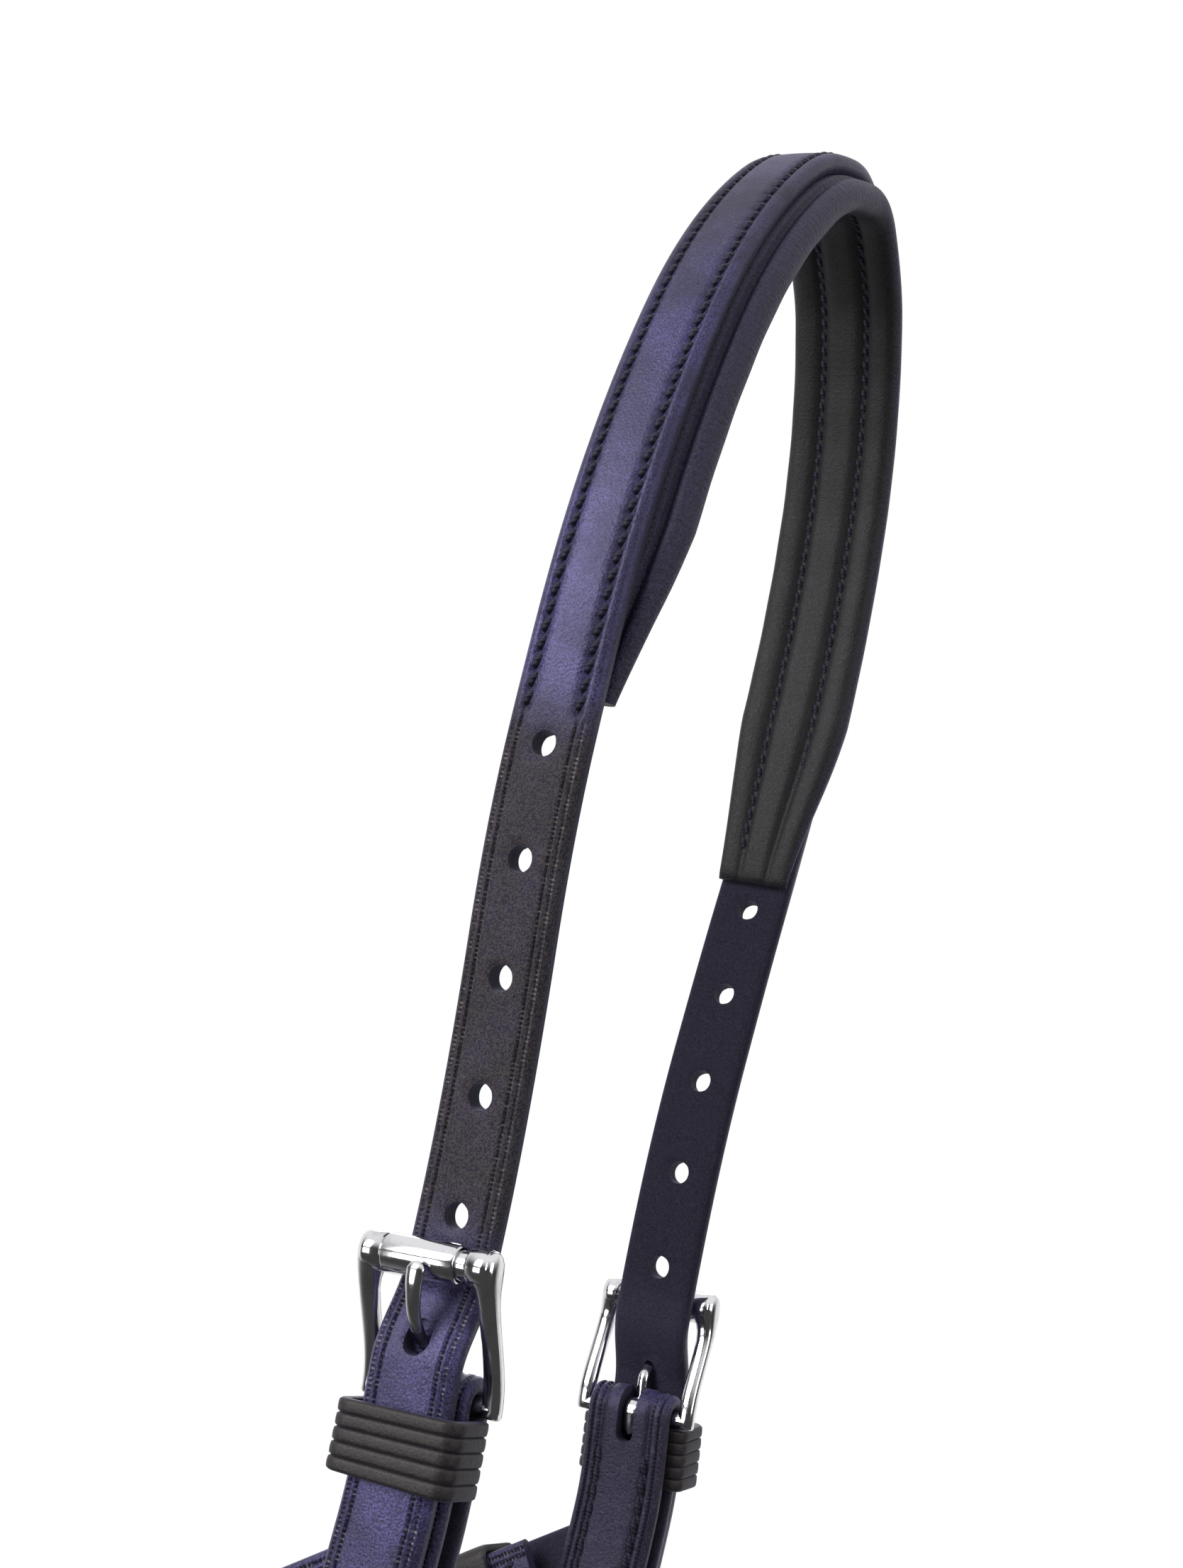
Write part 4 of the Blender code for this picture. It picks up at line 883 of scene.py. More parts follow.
def strap_leather(name, creased, padded=False, turned=0.0):
    """Waxed black bridle leather: smooth face with creases, burnished edges, and a matt flesh side.

    On a padded strap the length is counted from the apex; a violet sheen is painted over the pad, painted
    shade in a warm tone at the poll and on the billets, and a golden sheen in specks on the billets' face.
    The end turned back to the inside, as long as `turned`, has less of the painted violet sheen."""
    n = Look(name)
    face = n.between(n.round, *FACE_END, 1.0, 0.0)
    back = n.between(n.round, *BACK_START)
    speck = n.between(n.noise(*SPECKS), *SPECK_LEVELS)
    cloud = n.between(n.noise(*CLOUDS), *CLOUD_LEVELS)
    pores = n.noise(*PORES)
    scuff = n.between(n.noise(*SCUFFS), *SCUFF_LEVELS)
    height = n.total(n.times(n.cells(*GRAIN), GRAIN_HEIGHT), n.times(pores, PORE_HEIGHT),
                     n.times(n.noise(*WRINKLES), WRINKLE_HEIGHT))
    dust_and_sheen = 0.0
    if creased:
        ribs = n.math("SINE", n.times(n.along, 2 * math.pi / RIB_PITCH))
        ribbed = n.math("MINIMUM", n.total(*[n.line(n.round, at, RIB_REACH) for at in CREASE_SHARES]), 1.0)
        # Where painted shade darkens the crease lines
        pressed = n.total(*[n.line(n.round, at, CREASE_SHADE_REACH) for at in CREASE_SHARES])
        if padded:
            gone = n.math("ABSOLUTE", n.along)
            ribbed = n.times(ribbed, n.between(gone, PADDED_REACH, PADDED_REACH + PADDED_FADE))
        height = n.total(height, n.times(ribs, ribbed, RIB_HEIGHT))
        # Lighter on the crests of the crease ribs, in patches: dust in the creases and a painted sheen on
        # the crests
        rib_patches = n.between(n.noise(*RIB_DUST_AND_SHEEN), *RIB_DUST_AND_SHEEN_LEVELS)
        dust_and_sheen = n.times(ribbed, n.between(ribs, 0.0, 0.8), rib_patches, 0.9)
    height = n.total(height, n.times(n.noise(*FIBRES), back, FIBRE_HEIGHT))
    # The warm tone: random clouds on creased straps and nearly all of the keepers; on the crown it also
    # paints shade on the billets and at the poll
    warm_tone_and_shade = n.total(0.08, n.times(cloud, 0.42)) if creased else 0.96
    if padded:
        # Painted shade in the warm tone on the billets, from the pad's end to WARM_END
        billet = n.between(gone, PADDED_REACH - WARM_FADE / 2, PADDED_REACH + WARM_FADE / 2)
        billet = n.times(billet, n.between(gone, WARM_END, WARM_END + WARM_FADE, 1.0, 0.0))
        # Painted shade in a warmer tone at the poll
        poll_shade = n.times(n.between(gone, 0.0, POLL_SHADE_START),
                       n.between(gone, POLL_SHADE_END, POLL_SHADE_END + WARM_FADE * 2, 1.0, 0.0))
        warm_tone_and_shade = n.total(n.times(cloud, 0.36), n.times(billet, 0.8), n.times(poll_shade, 0.55))
        warm_tone_and_shade = n.math("MINIMUM", warm_tone_and_shade, 1.0)
    # A turned-back end gets less of the painted violet sheen, and none of the dust and sheen on the ribs
    if turned:
        inside = n.between(n.along, turned, turned + PADDED_FADE, 1.0, 0.0)
        warm_tone_and_shade = n.highest(warm_tone_and_shade, n.times(inside, 0.85))
        dust_and_sheen = n.times(dust_and_sheen, n.rest(inside))
    # Towards the warm colours there is less painted violet sheen
    dark = n.mix(warm_tone_and_shade, VIOLET_SHEEN_DARK, WARM_DARK)
    light = n.mix(warm_tone_and_shade, VIOLET_SHEEN_LIGHT, WARM_LIGHT)
    colour = n.mix(n.times(speck, 1.0 if creased else 0.55), dark, light)
    colour = n.mix(n.times(cloud, 0.45 if creased else 0.1), colour, dark)
    colour = n.mix(n.times(scuff, face, 0.30 if creased else 0.1), colour, SCUFFED)
    if creased:
        # Painted shade darkens the crease lines
        colour = n.mix(n.times(pressed, 0.7), colour, EDGE_DARK)
        colour = n.mix(dust_and_sheen, colour, DUST_AND_SHEEN)
    colour = n.mix(n.rest(face), colour, n.mix(speck, EDGE_DARK, EDGE_LIGHT))
    colour = n.mix(back, colour, n.mix(speck, BACK_DARK, BACK_LIGHT))
    rough = n.total(
        0.30, n.times(pores, 0.20), n.times(scuff, 0.08), n.times(back, 0.32), n.times(warm_tone_and_shade, 0.16))
    if padded:
        rough = n.total(rough, n.times(billet, 0.20))
        # A golden sheen painted in specks on the billets' face
        colour = n.mix(n.times(billet, face, n.times(speck, 0.8)), colour, BILLET_GOLDEN_SHEEN)
    return n.finish(
        colour, rough, height, 0.9 if creased else 0.45,
        Sheen_Weight=0.10, Sheen_Roughness=0.45, Sheen_Tint=SHEEN_TINT,
        Specular_IOR_Level=STRAP_GLOSS if creased else KEEPER_GLOSS,
        Specular_Tint=VIOLET_GLOSS if creased else PLAIN_GLOSS,
    )


def lining_leather():
    """Soft black lining over padding: fine grain, small wrinkles across the rolled edges, and a violet
    sheen painted on the rolled edges.
    """
    n = Look("black lining leather")
    grain = n.cells(*LINING_GRAIN)
    speck = n.between(n.noise(*LINING_SPECKS), *LINING_SPECK_LEVELS)
    across = n.add("CombineXYZ", n.times(n.along, 900), n.times(n.round, 8)).outputs[0]
    rolled = n.between(n.round, *ROLLED_START)
    height = n.total(
        n.times(grain, LINING_GRAIN_HEIGHT),
        n.times(speck, LINING_SPECK_HEIGHT),
        n.times(n.noise(1.0, 3, 0.55, across), n.total(0.15, rolled), LINING_WRINKLE_HEIGHT),
        n.times(n.noise(*LINING_SLACK), LINING_SLACK_HEIGHT),
    )
    colour = n.mix(speck, LINING_DARK, LINING_LIGHT)
    # A violet sheen painted on the rolled edges
    colour = n.mix(n.times(rolled, 0.38), colour, n.mix(speck, VIOLET_SHEEN_DARK, VIOLET_SHEEN_LIGHT))
    return n.finish(
        colour, n.total(0.44, n.times(grain, 0.18)), height, 0.8,
        Sheen_Weight=0.05, Sheen_Roughness=0.5, Sheen_Tint=SHEEN_TINT,
        Specular_IOR_Level=LINING_GLOSS, Specular_Tint=PLAIN_GLOSS,
    )


def thread():
    """Waxed black thread, its strands twisted, with painted shade between the strands."""
    n = Look("black waxed thread")
    around = n.times(n.round, 2 * math.pi)
    strands = n.math("SINE", n.total(n.times(n.along, 2 * math.pi / STRAND_PITCH), around))
    height = n.total(n.times(strands, STRAND_HEIGHT), n.times(n.noise(5000, 2), FUZZ_HEIGHT))
    # Painted shade darkens the grooves between the strands
    colour = n.mix(n.between(strands, -0.2, 0.95), THREAD_DARK, THREAD_LIGHT)
    rough = n.total(0.50, n.times(n.noise(3000), 0.2))
    return n.finish(colour, rough, height, 0.9, Sheen_Weight=0.05, Specular_Tint=VIOLET_GLOSS)


def polished_steel():
    """Polished steel with faint polishing lines and handling marks."""
    n = Look("polished steel")
    smears = n.between(n.noise(*SMEARS), *SMEAR_LEVELS)
    rough = n.total(0.07, n.times(smears, 0.07), n.times(n.noise(*MARKS), 0.08))
    waves = n.times(n.noise(150, 2), STEEL_WAVE_HEIGHT)
    height = n.total(waves, n.times(n.noise(900, 2), STEEL_LINE_HEIGHT))
    return n.finish(n.mix(smears, STEEL, STEEL_SMEARED), rough, height, 0.6, Metallic=1.0)


looks = {
    "strap": strap_leather("black bridle leather", True),
    "crown": strap_leather("black crown leather", True, True),
    "cheek": strap_leather("black cheek leather", True, turned=CHEEK_TURN_BACK),
    "plain": strap_leather("black keeper leather", False),
    "lining": lining_leather(),
    "thread": thread(),
    "steel": polished_steel(),
}


# Strap building


def always(length):
    return 1.0


def creases(width, when=always):
    """A strap's two pressed lines along each edge: place, reach, depth, and how strong at a length."""
    return tuple((width / 2 * share, CREASE_REACH, CREASE_DEPTH, when) for share in CREASE_SHARES)


def fine_row(width):
    """The channel that a strap's row of stitches lies in."""
    return (width / 2 - FINE_ROW_IN, FINE_ROW_REACH, FINE_ROW_DEPTH, always)


class Profile:
    """A strap's section: points from the middle of its face round the edge to the middle of its back."""

    def __init__(self, width, thick, marks, crown=0.0):
        self.half = width / 2
        self.marks = marks
        self.crown = crown
        radius = EDGE_ROUND * thick
        flat = self.half - radius
        places = {flat * k / 7 for k in range(8)}
        for spot, reach, _, _ in marks:
            places |= {spot + reach * share for share in (-1, -0.5, 0, 0.5, 1)}
        faces = []
        for x in sorted(p for p in places if 0 <= p <= flat):
            if not faces or x - faces[-1] > POINT_GAP:
                faces.append(x)
        faces[-1] = flat
        bend = turns(4, sweep=QUARTER)[1:4]
        corner = [(flat + radius * math.sin(t), radius * (1 - math.cos(t))) for t in bend]
        corner.append((self.half, radius))
        high = thick / 2
        rounded = [(x, high - drop, x / self.half, True) for x, drop in corner]
        self.points = [(x, high, x / self.half, True) for x in faces] + rounded
        self.points += [(x, -h, BACK_MIDDLE - place, False) for x, h, place, _ in reversed(rounded)]
        backs = [flat * k / 4 for k in (4, 3, 2, 1, 0)]
        self.points += [(x, -high, BACK_MIDDLE - x / self.half, False) for x in backs]

    def height(self, x, length):
        """How far the face stands off its plain level there."""
        rise = self.crown * (1 - (x / self.half) ** 2)
        for spot, reach, depth, when in self.marks:
            share = abs(abs(x) - spot) / reach
            if share < 1:
                rise -= depth * (1 + math.cos(math.pi * share)) / 2 * when(length)
        return rise

    def ring(self, length, scale):
        """(x, height) points all round at a length, the strap's width scaled."""
        half = [(x * scale, h + (self.height(x, length) if top else 0.0)) for x, h, _, top in self.points]
        return half + [(-x, h) for x, h in reversed(half[1:-1])]

    def skins(self):
        """The places round the strap for the material."""
        half = [place for _, _, place, _ in self.points]
        return half + half[-2::-1]


def strap(name, line, widths, profile, look, body, arch, side=1, holes=(), tools=(), middle=None):
    """A strap along (along, out) points, dipping at the rims of its holes, with the tools cut from it.

    Its length is counted from its first point, or from the point that comes as number `middle`."""
    rings = []
    lengths = []
    for (along, out, normal, run), width in zip(walked(line), widths):
        near = [hole for hole in holes if abs(along - hole) < HOLE_RADIUS + USED_HOLE_STRETCH + RIM_REACH]
        ring = []
        for x, h in profile.ring(along, width / 2 / profile.half):
            for hole in near:
                reach = math.hypot(x, along - hole) - HOLE_RADIUS
                h -= math.copysign(RIM_DEPTH * (1 - smooth_share(reach / RIM_REACH)), h)
            ring.append((x, along + normal.x * h, out + normal.y * h))
        rings.append(ring)
        lengths.append(run)
    start = lengths[middle] if middle else 0.0
    made = skin(rings, [length - start for length in lengths], profile.skins())
    cut(made, tools)
    dress(made, name, look, body, arch, side)


def cutter(outline, low, high):
    """A cutter with an outline on the strap, from one height to another."""
    rings = [[(x, y, z) for x, y in outline] for z in (low, high)]
    # Its walls take the flesh side's darker colour: painted shade in the holes and slots
    return skin(rings, [0.0, 1.0], [EDGE_PLACE] * (len(outline) + 1))


def hole_tools(holes, used, buckle):
    """Cutters for punched holes. The one in use is open above and closed round the tongue's foot."""
    reach = OVERRUN * 3
    tools = []
    for k, hole in enumerate(holes):
        spans = [(0.0, 0.0, 1.0, -reach, reach)]
        if k == used:
            level = buckle.billet_out(abs(hole))
            foot = math.copysign(USED_FOOT_SHIFT, hole)
            spans = [
                (USED_HOLE_STRETCH / 2, 0.0, 1.0, level, reach),
                (0.0, foot, USED_FOOT_SHARE, -reach, level + OVERRUN / 8),
            ]
        for stretch, shift, share, low, high in spans:
            outline = [(x * share, hole + shift + y * share + math.copysign(stretch, y))
                       for x, y in circle(HOLE_RADIUS, HOLE_SIDES)]
            tools.append(cutter(outline, low, high))
    return tools


def slot_tool(buckle):
    """Cutter for the slot that the tongue's eye needs in the folded strap."""
    half = TONGUE_EYE_WIDTH / 2 + SLACK
    start = buckle.bar - buckle.fold_radius - buckle.chape
    end = buckle.bar + SLOT_LENGTH - half
    rounded = [(half * math.cos(t), end + half * math.sin(t)) for t in turns(12, sweep=math.pi)]
    outline = [(half, start)] + rounded + [(-half, start)]
    return cutter(outline, buckle.inner_out - buckle.chape, buckle.chape_out + buckle.chape)


def tip_widths(lengths, tip_end, width):
    """Full width down to the tip, which narrows in a rounded point."""
    shares = [clamped((tip_end - length) / TIP_LENGTH) for length in lengths]
    return [width * (TIP_SHARE + (1 - TIP_SHARE) * math.sqrt(1 - (1 - share) ** 2)) for share in shares]


def tip_lengths(end):
    return [end - TIP_LENGTH * (1 - math.sin(t)) for t in turns(10, sweep=QUARTER)]


def both_sides(across, start, end, level, facing, shift=0.0):
    """A row of stitches on each side of the middle."""
    return [(way * across + shift, start, end, level, facing) for way in (-1, 1)]


def stitches(name, rows, body, arch, pitch=FINE_STITCH, radius=FINE_THREAD):
    """Rows of stitches. A row is (across, start, end, out at a length, side of the strap that shows)."""
    work = bmesh.new()
    for across, start, end, out_at, facing in rows:
        count = max(1, round((end - start) / pitch))
        step = (end - start) / count
        half = step * STITCH_FILL
        for k in range(count):
            rings = []
            for share in STITCH_STATIONS:
                along = start + (k + 0.5) * step + half * share
                bulge = radius * (1 - STITCH_NARROWING * abs(share) ** 3)
                lift = radius * (STITCH_LIFT - STITCH_SINK * share * share)
                slant = across + radius * STITCH_SLANT * share
                rings.append([
                    arch.place(slant + a, along, out_at(along) + facing * (b * STITCH_FLATNESS + lift))
                    for a, b in circle(bulge, STITCH_SIDES)
                ])
            add_skin(work, rings, [half * share for share in STITCH_STATIONS])
    dress(mesh_object(name, work), name, "thread", body)


def pinched(length, bar, pinch):
    """How far a turned-back end is drawn in, at a length past the bar it is folded round."""
    return pinch * smooth_share(abs(length - bar) / PINCH_RUN)


def fold(bar, out, radius, back, drop=0.0, towards=-1, pinch=0.0):
    """Line points of a strap's fold round a bar, from its turned-back end to the outer layer.

    With a pinch, the turned-back end is drawn that much closer to the outer layer."""
    lengths = even_steps(bar - towards * back, bar, PLAIN_STEP)[:-1]
    points = [(s, out - 2 * radius + pinched(s, bar, pinch)) for s in lengths]
    for t in turns(FOLD_STEPS, sweep=math.pi):
        points.append((bar + towards * (drop + radius * math.sin(t)), out - radius - radius * math.cos(t)))
    return points


def ring_fold_radius(thick):
    """The radius at which a strap's middle goes round a cheek ring's wire."""
    return CHEEK_RING_WIRE + GAP + thick / 2


def ring_fold(ring_at, out, thick, back, share=1.0):
    """A strap's end folded round a cheek ring's wire, and how far out its back lies at a length."""
    radius = ring_fold_radius(thick)
    pinch = (2 * radius - thick - GAP) * share
    half = RING_END_WIDTH / 2
    drop = CHEEK_RING_RADIUS - math.sqrt(CHEEK_RING_RADIUS**2 - half**2) + GAP
    low = out - 2 * radius - thick / 2
    return fold(ring_at, out, radius, back, drop, 1, pinch), lambda s: low + pinched(abs(s), ring_at, pinch)


def tapered(lengths, start, end, first, last):
    """Widths that change evenly between two lengths."""
    return [first + (last - first) * clamped((s - start) / (end - start)) for s in lengths]


# Headpiece


def crown_strap(right, left):
    """The crown strap: stitched and domed over the pad, creased and punched on its billets."""
    holes = [FIRST_HOLE + k * HOLE_PITCH for k in range(HOLE_COUNT)]
    end = holes[-1] + TIP_PAST_HOLE

    def off_pad(length):
        return smooth_share((abs(length) - CROWN_STITCH_START) / STITCHED_FADE)

    def stitched(length):
        pulled = math.cos(math.pi * length / CROWN_STITCH) ** 8
        return (1 - off_pad(length)) * 0.75 * (1 + pulled)

    marks = ((CROWN_ROW, CROWN_ROW_REACH, CROWN_ROW_DEPTH, stitched),) + creases(BILLET_WIDTH, off_pad)
    profile = Profile(BILLET_WIDTH, BILLET_THICKNESS, marks, CROWN_CROWN)
    stitched_run = even_steps(0.0, CROWN_STITCH_START + STITCHED_PAST, STITCHED_STEP)
    punched = hole_lengths(stitched_run[-1], end - TIP_LENGTH, holes, PLAIN_STEP * 0.8)
    half = join_lengths(stitched_run, punched, tip_lengths(end))
    lengths = [-s for s in reversed(half[1:])] + half
    line = [(s, (right if s < 0 else left).billet_out(abs(s))) for s in lengths]
    widths = tip_widths([abs(s) for s in lengths], end, BILLET_WIDTH)
    others = [-hole for hole in holes]
    tools = hole_tools(holes, USED_HOLE, left) + hole_tools(others, USED_HOLE, right)
    strap("crown_strap", line, widths, profile, "crown", "headpiece", right.arch,
          holes=others + holes, tools=tools, middle=lengths.index(0.0))
    dome = CROWN_CROWN * (1 - (CROWN_ROW * 2 / BILLET_WIDTH) ** 2)
    level = BILLET_THICKNESS / 2 + dome - CROWN_ROW_DEPTH * 0.9
    rows = both_sides(CROWN_ROW, -CROWN_STITCH_START, CROWN_STITCH_START, lambda s: level, 1)
    stitches("crown_stitches", rows, "headpiece", right.arch, CROWN_STITCH, CROWN_THREAD)


# Half of a pad's section, as in the part: shares of its half width and of its depth below the strap
PAD_SHARES = (
    (0.0, 1.0),
    (0.24, 0.98),
    (0.397, 0.82),
    (0.55, 0.96),
    (0.78, 1.0),
    (0.93, 0.90),
    (1.0, 0.67),
    (0.98, 0.40),
    (0.88, 0.18),
    (0.76, 0.10),
    (0.65, 0.19),
    (0.60, 0.0),
)
NOSE_PAD_SHARES = (
    (0.0, 1.0),
    (0.22, 0.98),
    (0.40, 0.84),
    (0.58, 0.98),
    (0.82, 0.94),
    (0.97, 0.72),
    (1.0, 0.50),
    (0.92, 0.33),
    (0.56, 0.28),
    (0.46, 0.0),
)


class Pad:
    """The sizes of a padded lining that narrows and thins at its ends, and where its top lies."""

    def __init__(self, half_length, taper, width, end_width, thickness, strap_thickness):
        self.half_length, self.taper = half_length, taper
        self.width, self.end_width = width, end_width
        self.thickness = thickness
        self.top = -strap_thickness / 2 - GAP

    def share(self, along):
        """How full it is at this length."""
        rest = clamped((self.half_length - abs(along)) / self.taper)
        return (rest + smooth_share(rest)) / 2

    def depth(self, along):
        return PAD_END_THICKNESS + (self.thickness - PAD_END_THICKNESS) * math.sqrt(self.share(along))


def pad_body(name, arch, pad, shares, body, shift=0.0, short=0.0):
    """A channelled, rolled-edge pad under a strap, its right end cut short."""
    section = curve_through(shares, 4)
    full = pad.half_length - pad.taper
    half = join_lengths(even_steps(0.0, full, PAD_STEP), even_steps(full, pad.half_length, PAD_STEP * 0.7))
    kept = [s for s in half if s <= pad.half_length - short]
    lengths = [-s for s in reversed(kept[1:])] + half
    rings = []
    for along in lengths:
        share = pad.share(along)
        wide = (pad.end_width + (pad.width - pad.end_width) * share) / 2
        deep = pad.depth(along)
        pucker = 1 + share * sum(size * math.sin(along / wave + start) for size, wave, start in PUCKERS)
        ring = []
        for a, b in section:
            swell = pucker if b > PUCKERED_FROM else 1.0
            ring.append((wide * a + shift * share, along, pad.top - b * deep * swell))
        ring.append((wide * PRESSED_SHARE + shift * share, along, pad.top + GAP + PRESSED_DEPTH))
        rings.append(ring + [(2 * shift * share - x, s, y) for x, s, y in reversed(ring[1:])])
    skins = [k / len(section) for k in range(len(section) + 1)]
    made = skin(rings, lengths, skins + skins[:0:-1] + [0.0])
    dress(made, name, "lining", body, arch, sharp=70)


def crown_pad(arch):
    """The pad under the crown strap, with a row of stitches down each channel."""
    pad = Pad(PAD_HALF_LENGTH, PAD_END_TAPER, PAD_WIDTH, PAD_END_WIDTH, PAD_THICKNESS, BILLET_THICKNESS)
    pad_body("crown_pad", arch, pad, PAD_SHARES, "headpiece", PAD_SHIFT, PAD_SHORT)
    end = PAD_HALF_LENGTH - PAD_SHORT - CROWN_STITCH
    rows = both_sides(PAD_ROW, -end, end, lambda s: pad.top - pad.depth(s) * PAD_ROW_SHARE, -1, PAD_SHIFT)
    stitches("pad_stitches", rows, "headpiece", arch, CROWN_STITCH)


# Buckles


def rail_sweep(side, fall):
    """One rail of a frame: a wide web under its block, straight outside, with a squared lower end."""
    wide = RAIL_HALF_WIDTH
    deep = RAIL_HALF_DEPTH
    corner = BLOCK_RADIUS
    end = BUCKLE_PITCH + LOWER_BAR_RADIUS
    # Where it stands below the roller's axis, its half width, its half depth, and how far it is set in
    stations = [
        (-0.96 * corner, 0.45 * corner, 0.22 * corner, 0.42 * corner),
        (-0.86 * corner, 0.68 * corner, 0.50 * corner, 0.22 * corner),
        (-0.66 * corner, 0.84 * corner, 0.75 * corner, 0.09 * corner),
        (-0.36 * corner, 0.94 * corner, 0.92 * corner, 0.02 * corner),
        (0.0, 0.97 * corner, 0.98 * corner, 0.0),
        (0.30 * corner, 0.90 * corner, 0.94 * corner, 0.0),
        (0.62 * corner, 0.76 * corner, 0.84 * corner, 0.0),
        (0.95 * corner, 0.64 * corner, 0.70 * corner, 0.0),
        (1.35 * corner, 1.12 * wide, 1.22 * deep, 0.0),
        (1.90 * corner, 1.03 * wide, 1.06 * deep, 0.0),
        (0.45 * BUCKLE_PITCH, wide, deep, 0.0),
        (0.70 * BUCKLE_PITCH, wide, deep, 0.0),
        (end - 1.20 * wide, wide, deep, 0.0),
    ]
    for turn in turns(5, sweep=QUARTER)[1:]:
        shrink = math.cos(turn) ** 0.6 if turn < QUARTER else 0.05
        low = end - 0.50 * wide * (1 - math.sin(turn))
        stations.append((low, (0.55 + 0.45 * shrink) * wide, shrink * deep, 0.35 * wide * (1 - shrink)))
    fine = []
    for first, second in zip(stations, stations[1:]):
        steps = max(1, math.ceil((second[0] - first[0]) / RAIL_STEP))
        fine += [tuple(u + (v - u) * k / steps for u, v in zip(first, second)) for k in range(steps)]
    fine.append(stations[-1])
    section = [(flattened(a, RAIL_POWER), flattened(b, RAIL_POWER)) for a, b in circle(1, WIRE_STEPS + 2)]
    rings = []
    for y, a, b, inset in fine:
        middle = side * (BUCKLE_WIDTH / 2 - a - inset)
        drop = -fall * smooth_share(y / BUCKLE_PITCH)
        rings.append([(middle + u * a, y, drop + v * b) for u, v in section])
    return skin(rings, [station[0] for station in fine])


def plain_bar(reach, radius, steps, at=(0, 0, 0)):
    """A round bar from side to side, its ends hidden in the rails."""
    return revolve(mirrored([(0.0, radius), (reach, radius), (reach, radius / 2)]), steps, at)


def buckle_frame(prefix, buckle, body):
    """A cast frame: round top bar with a block at each end, straight rails and a round lower bar."""
    edge = BUCKLE_WIDTH / 2
    block = edge - BLOCK_INSET
    end = edge - BLOCK_EASE * 2
    made = plain_bar(block + GAP, TOP_BAR_RADIUS, BLOCK_STEPS)
    bar_at = (0, BUCKLE_PITCH, -buckle.fall)
    parts = [plain_bar(edge - RAIL_HALF_WIDTH, LOWER_BAR_RADIUS, LOWER_BAR_STEPS, bar_at)]
    eased_end = [(end + BLOCK_EASE * math.sin(t), BLOCK_RADIUS - BLOCK_EASE * (1 - math.cos(t)))
                 for t in turns(4, sweep=QUARTER)]
    profile = [(block, BLOCK_CENTRE), (block, BLOCK_RADIUS - BLOCK_EASE / 3),
               (block + BLOCK_EASE / 3, BLOCK_RADIUS), *eased_end, (edge - BLOCK_EASE, BLOCK_CENTRE)]
    for side in (-1, 1):
        parts += [revolve([(side * x, r) for x, r in profile], BLOCK_STEPS), rail_sweep(side, buckle.fall)]
    merge(made, parts)
    dress(made, prefix + "_buckle", "steel", body, matrix=buckle.matrix())


def buckle_roller(prefix, buckle):
    made = tube(ROLLER_LENGTH / 2, TOP_BAR_RADIUS + GAP / 2, ROLLER_RADIUS, ROLLER_EASE, ROLLER_STEPS)
    matrix = buckle.matrix() @ Matrix.Translation((ROLLER_SHIFT, 0, 0))
    name = prefix + "_roller"
    dress(made, name, "steel", name, matrix=matrix)


# A tongue's line as shares of its reach and of its rise over the roller
TONGUE_SHARES = (
    (0.03, 0.17),
    (0.20, 0.19),
    (0.335, 0.25),
    (0.455, 0.60),
    (0.62, 0.86),
    (0.82, 0.985),
    (0.93, 1.0),
    (1.0, 0.985),
)


def buckle_tongue(prefix, buckle):
    """A bent tongue with an eye round the lower bar and a flat paddle resting on the roller."""
    rise = buckle.fall + ROLLER_RADIUS + GAP + TONGUE_PADDLE_THICKNESS / 2
    points = [Vector((0, -TONGUE_REACH * a, rise * b)) for a, b in curve_through(TONGUE_SHARES, 6)]
    last = len(points) - 1
    neck = TONGUE_WIDTH * TONGUE_NECK_SHARE
    rings = []
    for k, point in enumerate(points):
        tangent = (points[min(k + 1, last)] - points[max(k - 1, 0)]).normalized()
        depth = FORWARD.cross(tangent)
        paddle = smooth_share((k / 6 - 3.6) / 2.4)
        width = neck + (TONGUE_PADDLE_WIDTH * TONGUE_FACE_SHARE - neck) * paddle
        thick = TONGUE_THICKNESS + (TONGUE_PADDLE_THICKNESS - TONGUE_THICKNESS) * paddle
        tip = math.sqrt(min(1.0, max(0.06, (last - k) / 5)))
        rings.append([
            point + FORWARD * a * tip * width / 2 + depth * flattened(b, TONGUE_POWER) * tip * thick / 2
            for a, b in circle(1, TONGUE_STEPS)
        ])
    tongue = skin(rings, [-point.y for point in points])
    eye = tube(TONGUE_EYE_WIDTH / 2, LOWER_BAR_RADIUS + GAP / 2, TONGUE_EYE_RADIUS, TONGUE_EYE_EASE,
               TONGUE_EYE_STEPS)
    rings = []
    for share in (0.0, 0.25, 0.5, 0.75, 0.92, 1.0):
        narrow = math.sqrt(1 - (share * 0.98) ** 4)
        wide = TONGUE_EYE_WIDTH / 2 * narrow
        deep = TONGUE_TAIL_THICKNESS / 2 * (0.6 + 0.4 * narrow)
        rings.append([
            (a * wide, TONGUE_TAIL * share, b * deep - TONGUE_TAIL_LOW) for a, b in circle(1, TONGUE_STEPS)
        ])
    merge(tongue, [eye, skin(rings, [TONGUE_TAIL * k / 5 for k in range(6)])])
    matrix = buckle.matrix() @ Matrix.Translation((0, BUCKLE_PITCH, -buckle.fall))
    name = prefix + "_tongue"
    dress(tongue, name, "steel", name, matrix=matrix, sharp=60)


# Leather loops


